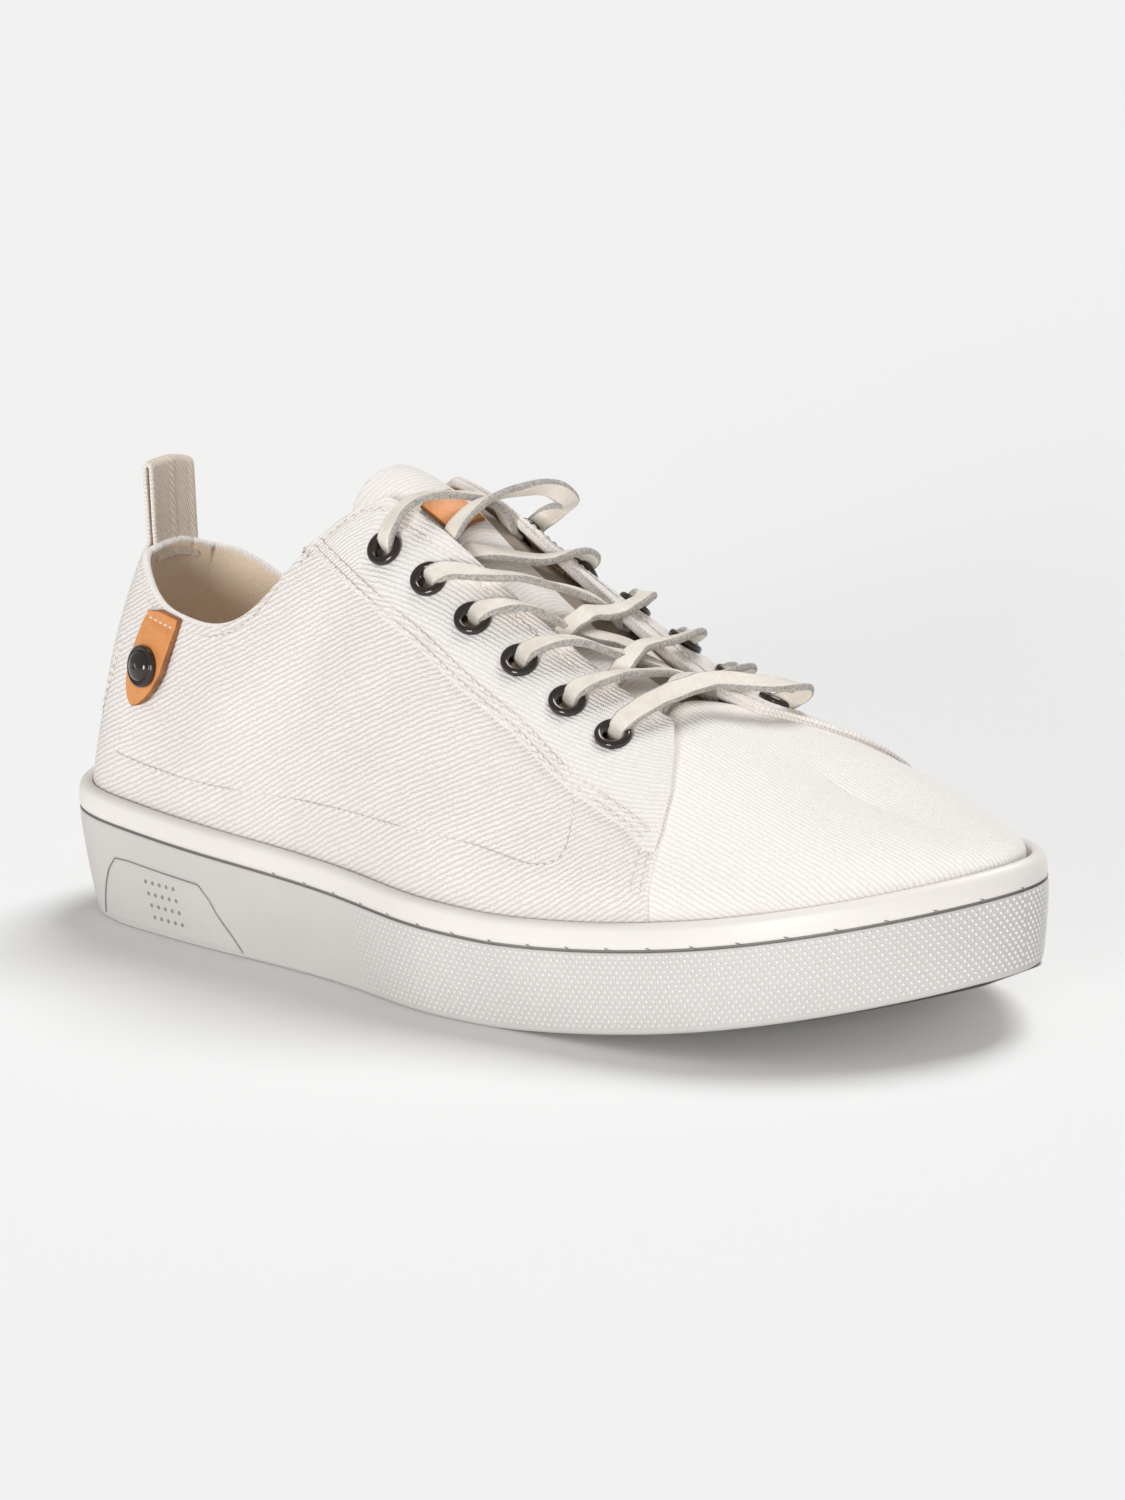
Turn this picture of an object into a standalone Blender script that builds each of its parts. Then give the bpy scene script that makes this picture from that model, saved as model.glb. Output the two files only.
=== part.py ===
"""Low canvas sneaker for the right foot, standing empty on its cupsole.

Metres, +Z up.  +X points to the toe, -Y is the outer (lateral) side and +Y the
inner (medial) side.  The origin lies on the ground under the middle of the
shoe.  The upper is worked out by one surface, skin(), whose sections rise from
the sole's edge to a ridge line over the foot.  A place on it is a station
(0 at the back of the heel, 12 at the tip of the toe), a side (-1 or +1), a
share of the section's height and a depth below the surface.
"""

import bpy
import bmesh
from math import cos, hypot, pi, radians, sin
from mathutils import Matrix, Vector
import numpy as np

# Overall sizes
LENGTH = 0.292
BALL_WIDTH = 0.107
INSTEP_HEIGHT = 0.126
HEEL_HEIGHT = 0.095

# Sole sizes
TOE_SPRING = 0.017
SPRING_START = 0.59
SPRING_POWER = 1.45
RIM_AT_HEEL = 0.0349
RIM_AT_WAIST = 0.0294
RIM_AT_TOE = 0.0276
FLOOR_AT_HEEL = 0.0190
FLOOR_AT_TOE = 0.0120
RIM_THICKNESS = 0.0037
GROOVE_BELOW_RIM = 0.0066
GROOVE_WIDTH = 0.0014
GROOVE_DEPTH = 0.0009
SIDE_TAPER = 0.0018
HEEL_TAPER = 0.0022
BOTTOM_EDGE = 0.0014
TREAD_PITCH = 0.0125
TREAD_WIDTH = 0.0028
TREAD_DEPTH = 0.0013
TREAD_MARGIN = 0.0110

# Upper, lining and insole sizes
CLEARANCE = 0.0003
WALL = 0.0024
VAMP_STEP = 0.0009
EYESTAY_RISE = 0.0008
THROAT_GAP_TOP = 0.027
THROAT_GAP_END = 0.024
INSOLE_THICKNESS = 0.0045
INSOLE_RISE = 0.0015

# Tongue and label sizes
TONGUE_THICKNESS = 0.0026
TONGUE_HALF_TOP = 0.030
TONGUE_HALF_END = 0.019
TONGUE_CORNER = 0.016
LABEL_LENGTH = 0.013
LABEL_WIDTH = 0.016
LABEL_THICKNESS = 0.0012

# Eyelets and lace
EYELET_COUNT = 6
EYELET_RADIUS = 0.0047
EYELET_BORE = 0.0026
EYELET_HOLE = 0.0034
EYELET_FLANGE = 0.0010
EYELET_EDGE_TOP = 0.0120
EYELET_EDGE_END = 0.0145
LACE_WIDTH = 0.0050
LACE_THICKNESS = 0.0019

# Pull loop, leather tab and stud
LOOP_WIDTH = 0.018
LOOP_THICKNESS = 0.0015
LOOP_RISE = 0.0205
LOOP_GAP = 0.0008
LOOP_DROP_OUTSIDE = 0.022
LOOP_DROP_INSIDE = 0.012
TAB_WIDTH = 0.0140
TAB_LENGTH = 0.0255
TAB_THICKNESS = 0.0014
STUD_RADIUS = 0.0054
STUD_HEIGHT = 0.0030
STUD_PLACE = 0.0150

# Sections of the shoe, from the heel to the toe.  along and spine are shares
# of LENGTH, lateral and medial of BALL_WIDTH, and height of INSTEP_HEIGHT.
# lean is the lower wall's tilt in degrees, side and top pull the section's
# curve upright near the sole and flat near the ridge, ridge is the ridge
# line's offset to the inner side as a share of BALL_WIDTH, and crown is the
# inner side's further pull near the ridge.
COLUMNS = "along lateral medial spine height lean side top ridge crown"
SECTIONS = [
    (0.000, 0.000, 0.000, 0.230, 1.000, -8, 0.34, 0.68, 0.000, 0.00),
    (0.030, 0.242, 0.215, 0.230, 1.000, -8, 0.34, 0.68, 0.000, 0.00),
    (0.110, 0.334, 0.325, 0.235, 1.000, -6, 0.38, 0.66, 0.000, 0.00),
    (0.210, 0.376, 0.365, 0.262, 1.000, -2, 0.46, 0.63, 0.000, 0.00),
    (0.310, 0.403, 0.350, 0.335, 0.990, 0, 0.50, 0.60, -0.010, 0.08),
    (0.410, 0.448, 0.335, 0.415, 0.940, 0, 0.52, 0.56, -0.015, 0.20),
    (0.510, 0.512, 0.365, 0.490, 0.828, 0, 0.52, 0.52, -0.015, 0.30),
    (0.610, 0.518, 0.430, 0.570, 0.706, 0, 0.52, 0.50, -0.012, 0.30),
    (0.705, 0.503, 0.483, 0.640, 0.610, 0, 0.50, 0.48, 0.000, 0.22),
    (0.800, 0.464, 0.490, 0.694, 0.565, 0, 0.48, 0.44, 0.020, 0.18),
    (0.885, 0.365, 0.430, 0.740, 0.527, 0, 0.46, 0.40, 0.033, 0.13),
    (0.962, 0.177, 0.270, 0.772, 0.493, 0, 0.50, 0.37, 0.040, 0.05),
    (1.000, 0.065, 0.065, 0.792, 0.470, 0, 0.54, 0.36, 0.044, 0.00),
]
TOE_STATION = len(SECTIONS) - 1

# Height of the collar every half station from the heel, in HEEL_HEIGHTs
COLLAR = [0.985, 0.985, 0.980, 0.940, 0.880, 0.857, 0.862, 0.940, 1.110, 1.220, 1.250]

# The inner side's collar is lower at the heel, by up to this much
INNER_DROP = 0.0040
DROP_STATIONS = (0.0, 1.0, 1.8, 3.0)

# Lower edge of the raised eyestay, as a share of the section at each station
EYESTAY_START = 4.2
EYESTAY_COLUMNS = "station share"
EYESTAY = [
    (4.0, 0.590),
    (4.5, 0.541),
    (5.0, 0.515),
    (6.0, 0.505),
    (6.8, 0.482),
    (7.5, 0.418),
    (8.2, 0.352),
    (8.7, 0.250),
]

# The inner side's rows and seams lie nearer to the toe, by up to this many stations
INNER_SHIFT = 0.36
SHIFT_STATIONS = (2.5, 4.8, 8.7, 12.0)

# Stations where the pieces of the upper begin and end, on the outer side
COLLAR_FRONT = 5.0
THROAT_START = 4.0
SEAM = 26 / 3
FIRST_EYELET = 4.86
LAST_EYELET = 7.78
TONGUE_TOP = 4.12
TONGUE_END = 9.0
TAB_STATION = 2.19
TAB_SLANT = radians(14)

# Strands of the lace.  Rows count from the top eyelets, whole at an eyelet.
# dive is how far a strand sinks between the facings, as a share of the way to
# the tongue, or 0 where it ends at an eyelet.  arch is its height over the
# throat in LACE_THICKNESSes, and strands of one piece cross and join.
STRAND_COLUMNS = "piece from_side from_row to_side to_row dive arch"
STRANDS = [
    (1, -1, 1.0, 1, 0.30, 0.3, 1.1),
    (2, 1, 1.0, -1, 1.70, 0.6, 1.5),
    (3, -1, 2.0, 1, 3.50, 1.0, 1.0),
    (3, 1, 2.0, -1, 3.20, 1.0, 1.8),
    (4, -1, 3.0, 1, 4.55, 1.0, 0.9),
    (4, 1, 3.0, -1, 4.80, 1.0, 1.5),
    (5, -1, 4.0, 1, 5.55, 1.0, 1.0),
    (5, -1, 5.0, 1, 4.10, 0.0, 1.5),
    (5, 1, 5.0, -1, 6.00, 1.0, 1.2),
    (6, -1, 6.0, 1, 6.00, 0.0, 1.5),
]

# Steps of the meshes: columns to a station and sections to a strand
STATION_STEPS = 3
STRAND_STEPS = 10
STATION_STEP = 1 / STATION_STEPS


class Smooth:
    """A smooth curve through evenly numbered values, open or closed."""

    def __init__(self, values, closed=False):
        count = len(values)
        matrix = np.zeros((count, count))
        bends = np.zeros(count)
        for i in range(count):
            matrix[i, i] = 4.0
            if not closed and i in (0, count - 1):
                continue
            matrix[i, (i - 1) % count] = 1.0
            matrix[i, (i + 1) % count] = 1.0
            bends[i] = 6 * (values[(i + 1) % count] - 2 * values[i] + values[(i - 1) % count])
        self.values = list(values)
        self.bends = np.linalg.solve(matrix, bends)
        self.closed = closed

    def __call__(self, place):
        count = len(self.values)
        if self.closed:
            place %= count
        first = min(max(int(place), 0), count - 1 if self.closed else count - 2)
        second = (first + 1) % count
        part = place - first
        rest = 1 - part
        line = rest * self.values[first] + part * self.values[second]
        return line + ((rest**3 - rest) * self.bends[first] + (part**3 - part) * self.bends[second]) / 6


def table(columns, rows):
    """The rows of a table as one list of values for each named column."""
    return {name: [row[i] for row in rows] for i, name in enumerate(columns.split())}


SHAPE = table(COLUMNS, SECTIONS)
COLUMN = {name: Smooth(values) for name, values in SHAPE.items()}
COLLAR_HEIGHT = Smooth(COLLAR)
EYESTAY_TABLE = table(EYESTAY_COLUMNS, EYESTAY)
_BACK = SHAPE["along"][-2:0:-1]
OUTLINE_X = Smooth([(share - 0.5) * LENGTH for share in SHAPE["along"] + _BACK], closed=True)
OUTLINE_Y = Smooth(
    [-share * BALL_WIDTH for share in SHAPE["lateral"][:-1]]
    + [share * BALL_WIDTH for share in SHAPE["medial"][:0:-1]],
    closed=True,
)
RIM_INSET = RIM_THICKNESS + CLEARANCE
TONGUE_DEPTH = WALL + 4 * CLEARANCE


def outline(station, side, inset=0.0):
    """A point of the sole's outline seen from above, moved inward by inset."""
    place = station if side < 0 else 2 * TOE_STATION - station
    step = 0.01
    run_x = OUTLINE_X(place + step) - OUTLINE_X(place - step)
    run_y = OUTLINE_Y(place + step) - OUTLINE_Y(place - step)
    size = hypot(run_x, run_y)
    return (
        OUTLINE_X(place) - inset * run_y / size,
        OUTLINE_Y(place) + inset * run_x / size,
    )


def lift(x):
    """How far the toe spring raises the sole at x."""
    share = (x / LENGTH + 0.5 - SPRING_START) / (1 - SPRING_START)
    return TOE_SPRING * max(0.0, share) ** SPRING_POWER


def along_sole(heel, waist, toe, x):
    """A height given at heel, waist and toe, joined by one parabola."""
    share = x / LENGTH + 0.5
    return (
        heel * (1 - share) * (1 - 2 * share)
        + 4 * waist * share * (1 - share)
        + toe * share * (2 * share - 1)
    )


def rim_height(x):
    """Height of the top of the sole's rim."""
    return along_sole(RIM_AT_HEEL, RIM_AT_WAIST, RIM_AT_TOE, x) + lift(x)


def floor_height(x):
    """Height of the floor inside the cup of the sole."""
    middle = (FLOOR_AT_HEEL + FLOOR_AT_TOE) / 2
    return along_sole(FLOOR_AT_HEEL, middle, FLOOR_AT_TOE, x) + lift(x)


def ridge(station):
    """The point where a section reaches the ridge line over the foot."""
    return np.array([
        (COLUMN["spine"](station) - 0.5) * LENGTH,
        COLUMN["ridge"](station) * BALL_WIDTH,
        COLUMN["height"](station) * INSTEP_HEIGHT,
    ])


def ridge_slope(station):
    """Rise of the ridge line for each metre towards the toe."""
    run = ridge(min(station + 0.05, TOE_STATION)) - ridge(max(station - 0.05, 0))
    return run[2] / run[0] if abs(run[0]) > 1e-5 else 0.0


def section(station, side):
    """The four control points of a section's curve, from the rim to the ridge."""
    x, y = outline(station, side, RIM_INSET)
    foot = np.array([x, y, rim_height(x)])
    top = ridge(station)
    outward = np.array([x - top[0], y - top[1], 0.0])
    reach = np.linalg.norm(outward)
    outward /= reach
    lean = radians(COLUMN["lean"](station))
    upright = COLUMN["side"](station) * (top[2] - foot[2])
    crown = COLUMN["crown"](station) if side > 0 else 0.0
    level = (COLUMN["top"](station) + crown) * reach
    lower = foot + upright * np.array([outward[0] * sin(lean), outward[1] * sin(lean), cos(lean)])
    upper = top + level * np.array([outward[0], outward[1], ridge_slope(station) * outward[0]])
    return foot, lower, upper, top


def on_curve(points, share):
    """A point of the cubic curve with the given control points."""
    rest = 1 - share
    return (
        rest**3 * points[0]
        + 3 * share * rest**2 * points[1]
        + 3 * share**2 * rest * points[2]
        + share**3 * points[3]
    )


def surface(station, side, share):
    """A point of the upper's outer surface."""
    return on_curve(section(station, side), share)


def normal(station, side, share):
    """The surface's outward direction."""
    if share > 0.999:
        slope = ridge_slope(station)
        return np.array([-slope, 0.0, 1.0]) / hypot(slope, 1.0)
    step = 0.02
    before, after = max(station - step, 0), min(station + step, TOE_STATION)
    if before == 0:
        across = surface(after, side, share) - surface(after, -side, share)
    elif after == TOE_STATION:
        across = surface(before, -side, share) - surface(before, side, share)
    else:
        across = surface(after, side, share) - surface(before, side, share)
    up = surface(station, side, min(share + step, 1)) - surface(station, side, max(share - step, 0))
    out = np.cross(across, up) * -side
    return out / np.linalg.norm(out)


def skin(station, side, share, depth=0.0):
    """A point at a depth below the surface, or above it where depth is negative."""
    return surface(station, side, share) - depth * normal(station, side, share)


def throat_half_gap(station):
    """Half the distance between the two facings."""
    part = (station - THROAT_START) / (SEAM - THROAT_START)
    return (THROAT_GAP_TOP + (THROAT_GAP_END - THROAT_GAP_TOP) * min(max(part, 0), 1)) / 2


def inner_drop(station):
    """How much lower the inner side's collar is than the outer side's."""
    part = float(np.interp(station, DROP_STATIONS, (0, 1, 1, 0)))
    return INNER_DROP * part * part * (3 - 2 * part)


def trim(station, side):
    """The share of a section where the collar or the facing ends."""
    points = section(station, side)
    collar = HEEL_HEIGHT * (COLLAR_HEIGHT(2 * station) if station <= COLLAR_FRONT else 9.0)
    if side > 0:
        collar -= inner_drop(station)
    low, high = 0.0, 1.0
    for _ in range(30):
        middle = (low + high) / 2
        point = on_curve(points, middle)
        in_throat = station > THROAT_START and abs(point[1] - points[3][1]) < throat_half_gap(station)
        if point[2] > collar or in_throat:
            high = middle
        else:
            low = middle
    return low


def share_from(station, side, start, distance):
    """The share reached by going a distance along a section from the share start."""
    points = section(station, side)
    steps = 60
    goal = 1.0 if distance > 0 else 0.0
    here = on_curve(points, start)
    walked, share = 0.0, start
    for i in range(1, steps + 1):
        following = start + (goal - start) * i / steps
        there = on_curve(points, following)
        leg = np.linalg.norm(there - here)
        if walked + leg >= abs(distance):
            return share + (following - share) * (abs(distance) - walked) / leg
        walked, share, here = walked + leg, following, there
    return goal


def on_side(station, side):
    """The station on a side that matches one of the outer side."""
    if side < 0:
        return station
    return station + INNER_SHIFT * float(np.interp(station, SHIFT_STATIONS, (0, 1, 1, 0)))


def row_station(row, side):
    """The station of an eyelet row, counted from 1 at the top."""
    part = (row - 1) / (EYELET_COUNT - 1)
    return on_side(FIRST_EYELET + (LAST_EYELET - FIRST_EYELET) * part, side)


def eyelet_share(row, side):
    """The share of the section where the eyelets of a row lie."""
    part = (row - 1) / (EYELET_COUNT - 1)
    edge = EYELET_EDGE_TOP + (EYELET_EDGE_END - EYELET_EDGE_TOP) * part
    station = row_station(row, side)
    return share_from(station, side, trim(station, side), -edge)


def material(name, color, roughness, metallic=0.0):
    """A plain Principled material."""
    made = bpy.data.materials.new(name)
    made.use_nodes = True
    shader = made.node_tree.nodes["Principled BSDF"]
    shader.inputs["Base Color"].default_value = (*color, 1)
    shader.inputs["Roughness"].default_value = roughness
    shader.inputs["Metallic"].default_value = metallic
    return made


def mesh_object(name, points, faces, made_of):
    """An object from points and faces, with its faces turned outward."""
    mesh = bpy.data.meshes.new(name)
    work = bmesh.new()
    corners = [work.verts.new(point) for point in points]
    for face in faces:
        work.faces.new([corners[i] for i in face])
    bmesh.ops.recalc_face_normals(work, faces=work.faces)
    work.to_mesh(mesh)
    work.free()
    mesh.shade_smooth()
    mesh.set_sharp_from_angle(angle=radians(40))
    item = bpy.data.objects.new(name, mesh)
    bpy.context.collection.objects.link(item)
    if made_of:
        mesh.materials.append(made_of)
    return item


def joined_grid(name, grid, made_of, closed=False):
    """A solid from rows of closed rings of points, capped at both ends."""
    across = len(grid[0])
    points = [point for row in grid for point in row]
    faces = []
    for r in range(len(grid) - 1):
        for c in range(across):
            d = (c + 1) % across
            faces.append((r * across + c, r * across + d, (r + 1) * across + d, (r + 1) * across + c))
    last = (len(grid) - 1) * across
    faces.append(tuple(range(across)))
    faces.append(tuple(last + c for c in reversed(range(across))))
    return mesh_object(name, points, faces, made_of)


def sheet_solid(name, outer, inner, made_of):
    """A solid between two equal grids of points, the outer and the inner face."""
    rows, across = len(outer), len(outer[0])
    size = rows * across
    points = [point for row in outer for point in row] + [point for row in inner for point in row]
    faces = []
    for r in range(rows - 1):
        for c in range(across - 1):
            quad = (r * across + c, r * across + c + 1, (r + 1) * across + c + 1, (r + 1) * across + c)
            faces.append(quad)
            faces.append(tuple(size + i for i in reversed(quad)))
    border = [c for c in range(across)]
    border += [r * across + across - 1 for r in range(1, rows)]
    border += [(rows - 1) * across + c for c in reversed(range(across - 1))]
    border += [r * across for r in reversed(range(1, rows - 1))]
    for here, there in zip(border, border[1:] + border[:1]):
        faces.append((here, there, size + there, size + here))
    return mesh_object(name, points, faces, made_of)


def placed(point, direction):
    """A matrix that stands +Z along a direction at a point."""
    turn = Vector(direction).to_track_quat("Z", "Y").to_matrix().to_4x4()
    return Matrix.Translation(Vector(point)) @ turn


def turned(name, profile, segments, matrix, made_of):
    """A solid turned about its own Z axis from a profile of (radius, height)."""
    grid = []
    for i in range(segments):
        angle = 2 * pi * i / segments
        grid.append([matrix @ Vector((r * cos(angle), r * sin(angle), h)) for r, h in profile])
    count = len(profile)
    points = [point for ring in grid for point in ring]
    faces = []
    for i in range(segments):
        j = (i + 1) % segments
        for k in range(count):
            m = (k + 1) % count
            faces.append((i * count + k, j * count + k, j * count + m, i * count + m))
    return mesh_object(name, points, faces, made_of)


def cut(item, cutter, operation="DIFFERENCE"):
    """Cuts or joins an object with another through a Boolean modifier."""
    change = item.modifiers.new(operation.lower(), "BOOLEAN")
    change.operation = operation
    change.solver = "EXACT"
    change.object = cutter
    cutter.hide_render = True
    cutter.display_type = "WIRE"


def sole_ring():
    """The columns around the sole: heel, outer side, toe and inner side."""
    count = TOE_STATION * STATION_STEPS
    ring = [(i * STATION_STEP, -1) for i in range(count + 1)]
    return ring + [(i * STATION_STEP, 1) for i in reversed(range(1, count))]


def across_faces(row_start, count):
    """Faces that close a ring of columns from its outer to its inner side."""
    half = count // 2
    faces = [(row_start, row_start + 1, row_start + count - 1)]
    for i in range(1, half - 1):
        faces.append((
            row_start + i, row_start + i + 1, row_start + count - i - 1, row_start + count - i,
        ))
    faces.append((row_start + half - 1, row_start + half, row_start + half + 1))
    return faces


def ring_solid(name, rows, made_of):
    """A solid from stacked rings of columns, closed below and above."""
    count = len(rows[0])
    points = [point for row in rows for point in row]
    faces = across_faces(0, count) + across_faces((len(rows) - 1) * count, count)
    for r in range(len(rows) - 1):
        for c in range(count):
            d = (c + 1) % count
            faces.append((r * count + c, r * count + d, (r + 1) * count + d, (r + 1) * count + c))
    return mesh_object(name, points, faces, made_of)


def taper_at(x):
    """How far the foot of the sidewall stands in from its outline."""
    share = x / LENGTH + 0.5
    return SIDE_TAPER + HEEL_TAPER * max(0.0, 1 - share / 0.1)


def outsole_rows():
    """Rings of the sole from the tread up its side, over the rim and into the cup."""
    def ring(inset, height):
        row = []
        for station, side in sole_ring():
            x, y = outline(station, side, inset(outline(station, side)[0]))
            row.append((x, y, height(x)))
        return row

    def groove(x):
        return rim_height(x) - GROOVE_BELOW_RIM

    half_groove = GROOVE_WIDTH / 2
    lip = RIM_THICKNESS
    return [
        ring(lambda x: taper_at(x) + BOTTOM_EDGE, lift),
        ring(taper_at, lambda x: lift(x) + BOTTOM_EDGE),
        ring(lambda x: taper_at(x) * 0.35, lambda x: (lift(x) + groove(x)) / 2),
        ring(lambda x: 0.0, lambda x: groove(x) - half_groove),
        ring(lambda x: GROOVE_DEPTH, groove),
        ring(lambda x: 0.0, lambda x: groove(x) + half_groove),
        ring(lambda x: 0.05 * lip, lambda x: rim_height(x) - 0.55 * lip),
        ring(lambda x: 0.28 * lip, lambda x: rim_height(x) - 0.12 * lip),
        ring(lambda x: 0.62 * lip, rim_height),
        ring(lambda x: lip, lambda x: rim_height(x) - 0.25 * lip),
        ring(lambda x: lip, floor_height),
    ]


def tread_cutter():
    """Shallow bars across the sole, following its toe spring."""
    points, faces = [], []
    count = int(LENGTH * 0.88 / TREAD_PITCH)
    for i in range(count):
        x = (i - (count - 1) / 2) * TREAD_PITCH
        slope = (lift(x + 0.001) - lift(x - 0.001)) / 0.002
        station = min(range(TOE_STATION), key=lambda s: abs(outline(s + 0.5, -1)[0] - x)) + 0.5
        low = outline(station, -1, taper_at(x) + TREAD_MARGIN)[1]
        high = outline(station, 1, taper_at(x) + TREAD_MARGIN)[1]
        corners = [(-1, low), (1, low), (1, high), (-1, high)]
        first = len(points)
        for level in (-2 * TREAD_DEPTH, TREAD_DEPTH):
            for end, y in corners:
                away = end * TREAD_WIDTH / 2
                points.append((x + away - slope * level, y, lift(x) + slope * away + level))
        faces.append([first + k for k in (3, 2, 1, 0)])
        faces.append([first + 4 + k for k in range(4)])
        for k in range(4):
            m = (k + 1) % 4
            faces.append([first + k, first + m, first + 4 + m, first + 4 + k])
    return mesh_object("tread_cutter", points, faces, None)


def build_outsole(rubber):
    """The moulded cupsole in one piece."""
    outsole = ring_solid("outsole", outsole_rows(), rubber)
    cut(outsole, tread_cutter())


def build_insole(board):
    """The footbed, which lies on the floor of the cup inside the upper."""
    inset = RIM_INSET + WALL + CLEARANCE
    rows = []
    for extra, height in (
        (0.0, 0.0),
        (0.0, INSOLE_THICKNESS + INSOLE_RISE),
        (0.18 * BALL_WIDTH, INSOLE_THICKNESS),
    ):
        row = []
        for station, side in sole_ring():
            near_end = min(1.0, min(station, TOE_STATION - station) / 2)
            x, y = outline(station, side, inset + extra * (0.4 + 0.6 * near_end))
            row.append((x, y, floor_height(x) + CLEARANCE + height))
        rows.append(row)
    ring_solid("insole", rows, board)


def vamp_depth(share):
    """How far the vamp lies below the quarters, less towards the rim."""
    return VAMP_STEP * min(1.0, 0.25 + 5 * share)


def upper_columns():
    """Stations of the upper on the outer side, with a close pair at the seam."""
    stations = [i * STATION_STEP for i in range(TOE_STATION * STATION_STEPS + 1)]
    before = [s for s in stations if s < SEAM - 0.01] + [SEAM - 0.03]
    after = [s for s in stations if s > SEAM - 0.01]
    return before, after


def eyestay_edge(station):
    """The share of the section where the eyestay's lower edge lies."""
    edge = float(np.interp(station, EYESTAY_TABLE["station"], EYESTAY_TABLE["share"]))
    if station >= THROAT_START:
        return edge
    part = station / THROAT_START
    return (0.62 + 0.28 * part) * trim(station, -1) * (1 - part) + edge * part


def build_upper(canvas):
    """Quarters and vamp as one hollow wall, open at collar, throat and underneath.

    The rows of points go from the floor of the cup to the rim (1), to the
    eyestay's edge, to the top of its step, to the collar or facing and, on the
    vamp, to the ridge.
    """
    quarters, vamp = upper_columns()
    stations = quarters + vamp
    rim_row, edge_row, top_row, last_row = 1, 8, 12, 15
    seam_edge = eyestay_edge(SEAM)
    seam_trim = trim(SEAM, -1)
    points, number = [], {}

    def share_of(column, side, row):
        station = stations[column]
        edge, top = seam_edge, seam_trim
        if column < len(quarters):
            edge, top = eyestay_edge(station), trim(on_side(station, side), side)
        if row <= edge_row:
            return edge * (row - rim_row) / (edge_row - rim_row)
        if row <= top_row:
            return edge + (top - edge) * (row - edge_row - 1) / (top_row - edge_row - 1)
        return top + (1 - top) * (row - top_row) / (last_row - top_row)

    def depth_of(column, row, share, inside):
        if inside:
            return WALL
        if column >= len(quarters):
            return vamp_depth(share)
        return -EYESTAY_RISE if row > edge_row and stations[column] > EYESTAY_START else 0.0

    def corner(column, side, row, inside):
        stepped = EYESTAY_START < stations[column] < SEAM - 0.01
        if row == edge_row + 1 and (inside or not stepped):
            row = edge_row
        if column in (0, len(stations) - 1) or row == last_row:
            side = -1
        key = (column, side, row, inside)
        if key not in number:
            rest = min(1.0, (last_row - row) / (last_row - top_row))
            station = stations[column]
            station += (on_side(station, side) - station) * rest
            if row == 0:
                inset = RIM_INSET
                inset += WALL if inside else (0 if column < len(quarters) else vamp_depth(0))
                x, y = outline(station, side, inset)
                point = (x, y, floor_height(x) + CLEARANCE)
            else:
                share = share_of(column, side, row)
                point = skin(station, side, share, depth_of(column, row, share, inside))
            number[key] = len(points)
            points.append(tuple(point))
        return number[key]

    faces = []

    def add_face(*corners):
        single = list(dict.fromkeys(corners))
        if len(single) > 2:
            faces.append(single)

    for side in (-1, 1):
        for column in range(len(stations) - 1):
            here, there = column, column + 1
            bridged = here >= len(quarters)
            for row in range(last_row if bridged else top_row):
                for inside in (False, True):
                    add_face(
                        corner(here, side, row, inside), corner(there, side, row, inside),
                        corner(there, side, row + 1, inside), corner(here, side, row + 1, inside),
                    )
            for row in [0] if bridged else [0, top_row]:
                add_face(
                    corner(here, side, row, False), corner(there, side, row, False),
                    corner(there, side, row, True), corner(here, side, row, True),
                )
        first = len(quarters)
        for row in range(top_row, last_row):
            add_face(
                corner(first, side, row, False), corner(first, side, row + 1, False),
                corner(first, side, row + 1, True), corner(first, side, row, True),
            )
    upper = mesh_object("upper", points, faces, canvas)
    cut(upper, eyelet_cutter())


def eyelet_place(row, side):
    """Where an eyelet sits and which way it faces."""
    station, share = row_station(row, side), eyelet_share(row, side)
    return placed(skin(station, side, share, -EYESTAY_RISE), normal(station, side, share))


def eyelet_cutter():
    """Round bars that cut the eyelets' holes."""
    points, faces = [], []
    segments = 12
    for side in (-1, 1):
        for row in range(1, EYELET_COUNT + 1):
            matrix = eyelet_place(row, side)
            first = len(points)
            for height in (-3 * WALL, 2 * WALL):
                for i in range(segments):
                    angle = 2 * pi * i / segments
                    spot = Vector((EYELET_HOLE * cos(angle), EYELET_HOLE * sin(angle), height))
                    points.append(tuple(matrix @ spot))
            faces.append([first + i for i in reversed(range(segments))])
            faces.append([first + segments + i for i in range(segments)])
            for i in range(segments):
                j = (i + 1) % segments
                faces.append([first + i, first + j, first + segments + j, first + segments + i])
    return mesh_object("eyelet_cutter", points, faces, None)


def build_eyelets(metal):
    """Metal eyelets, each a rolled flange on a short barrel."""
    flange, bore = EYELET_FLANGE, EYELET_BORE
    barrel = EYELET_HOLE - CLEARANCE
    low = -WALL - EYESTAY_RISE
    profile = [
        (bore, low),
        (barrel, low),
        (barrel, CLEARANCE),
        (EYELET_RADIUS, CLEARANCE),
        (EYELET_RADIUS - 0.3 * flange, CLEARANCE + 0.7 * flange),
        ((EYELET_RADIUS + bore) / 2, CLEARANCE + flange),
        (bore, CLEARANCE + 0.4 * flange),
    ]
    for side, name in ((-1, "lateral"), (1, "medial")):
        for row in range(1, EYELET_COUNT + 1):
            turned(f"eyelet_{name}_{row}", profile, 12, eyelet_place(row, side), metal)


def near_ridge(station, distance, depth):
    """A point beside the ridge: distance is negative to the outer side."""
    side = -1 if distance < 0 else 1
    share = share_from(station, side, 1.0, -abs(distance))
    return skin(station, side, share, depth)


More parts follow.
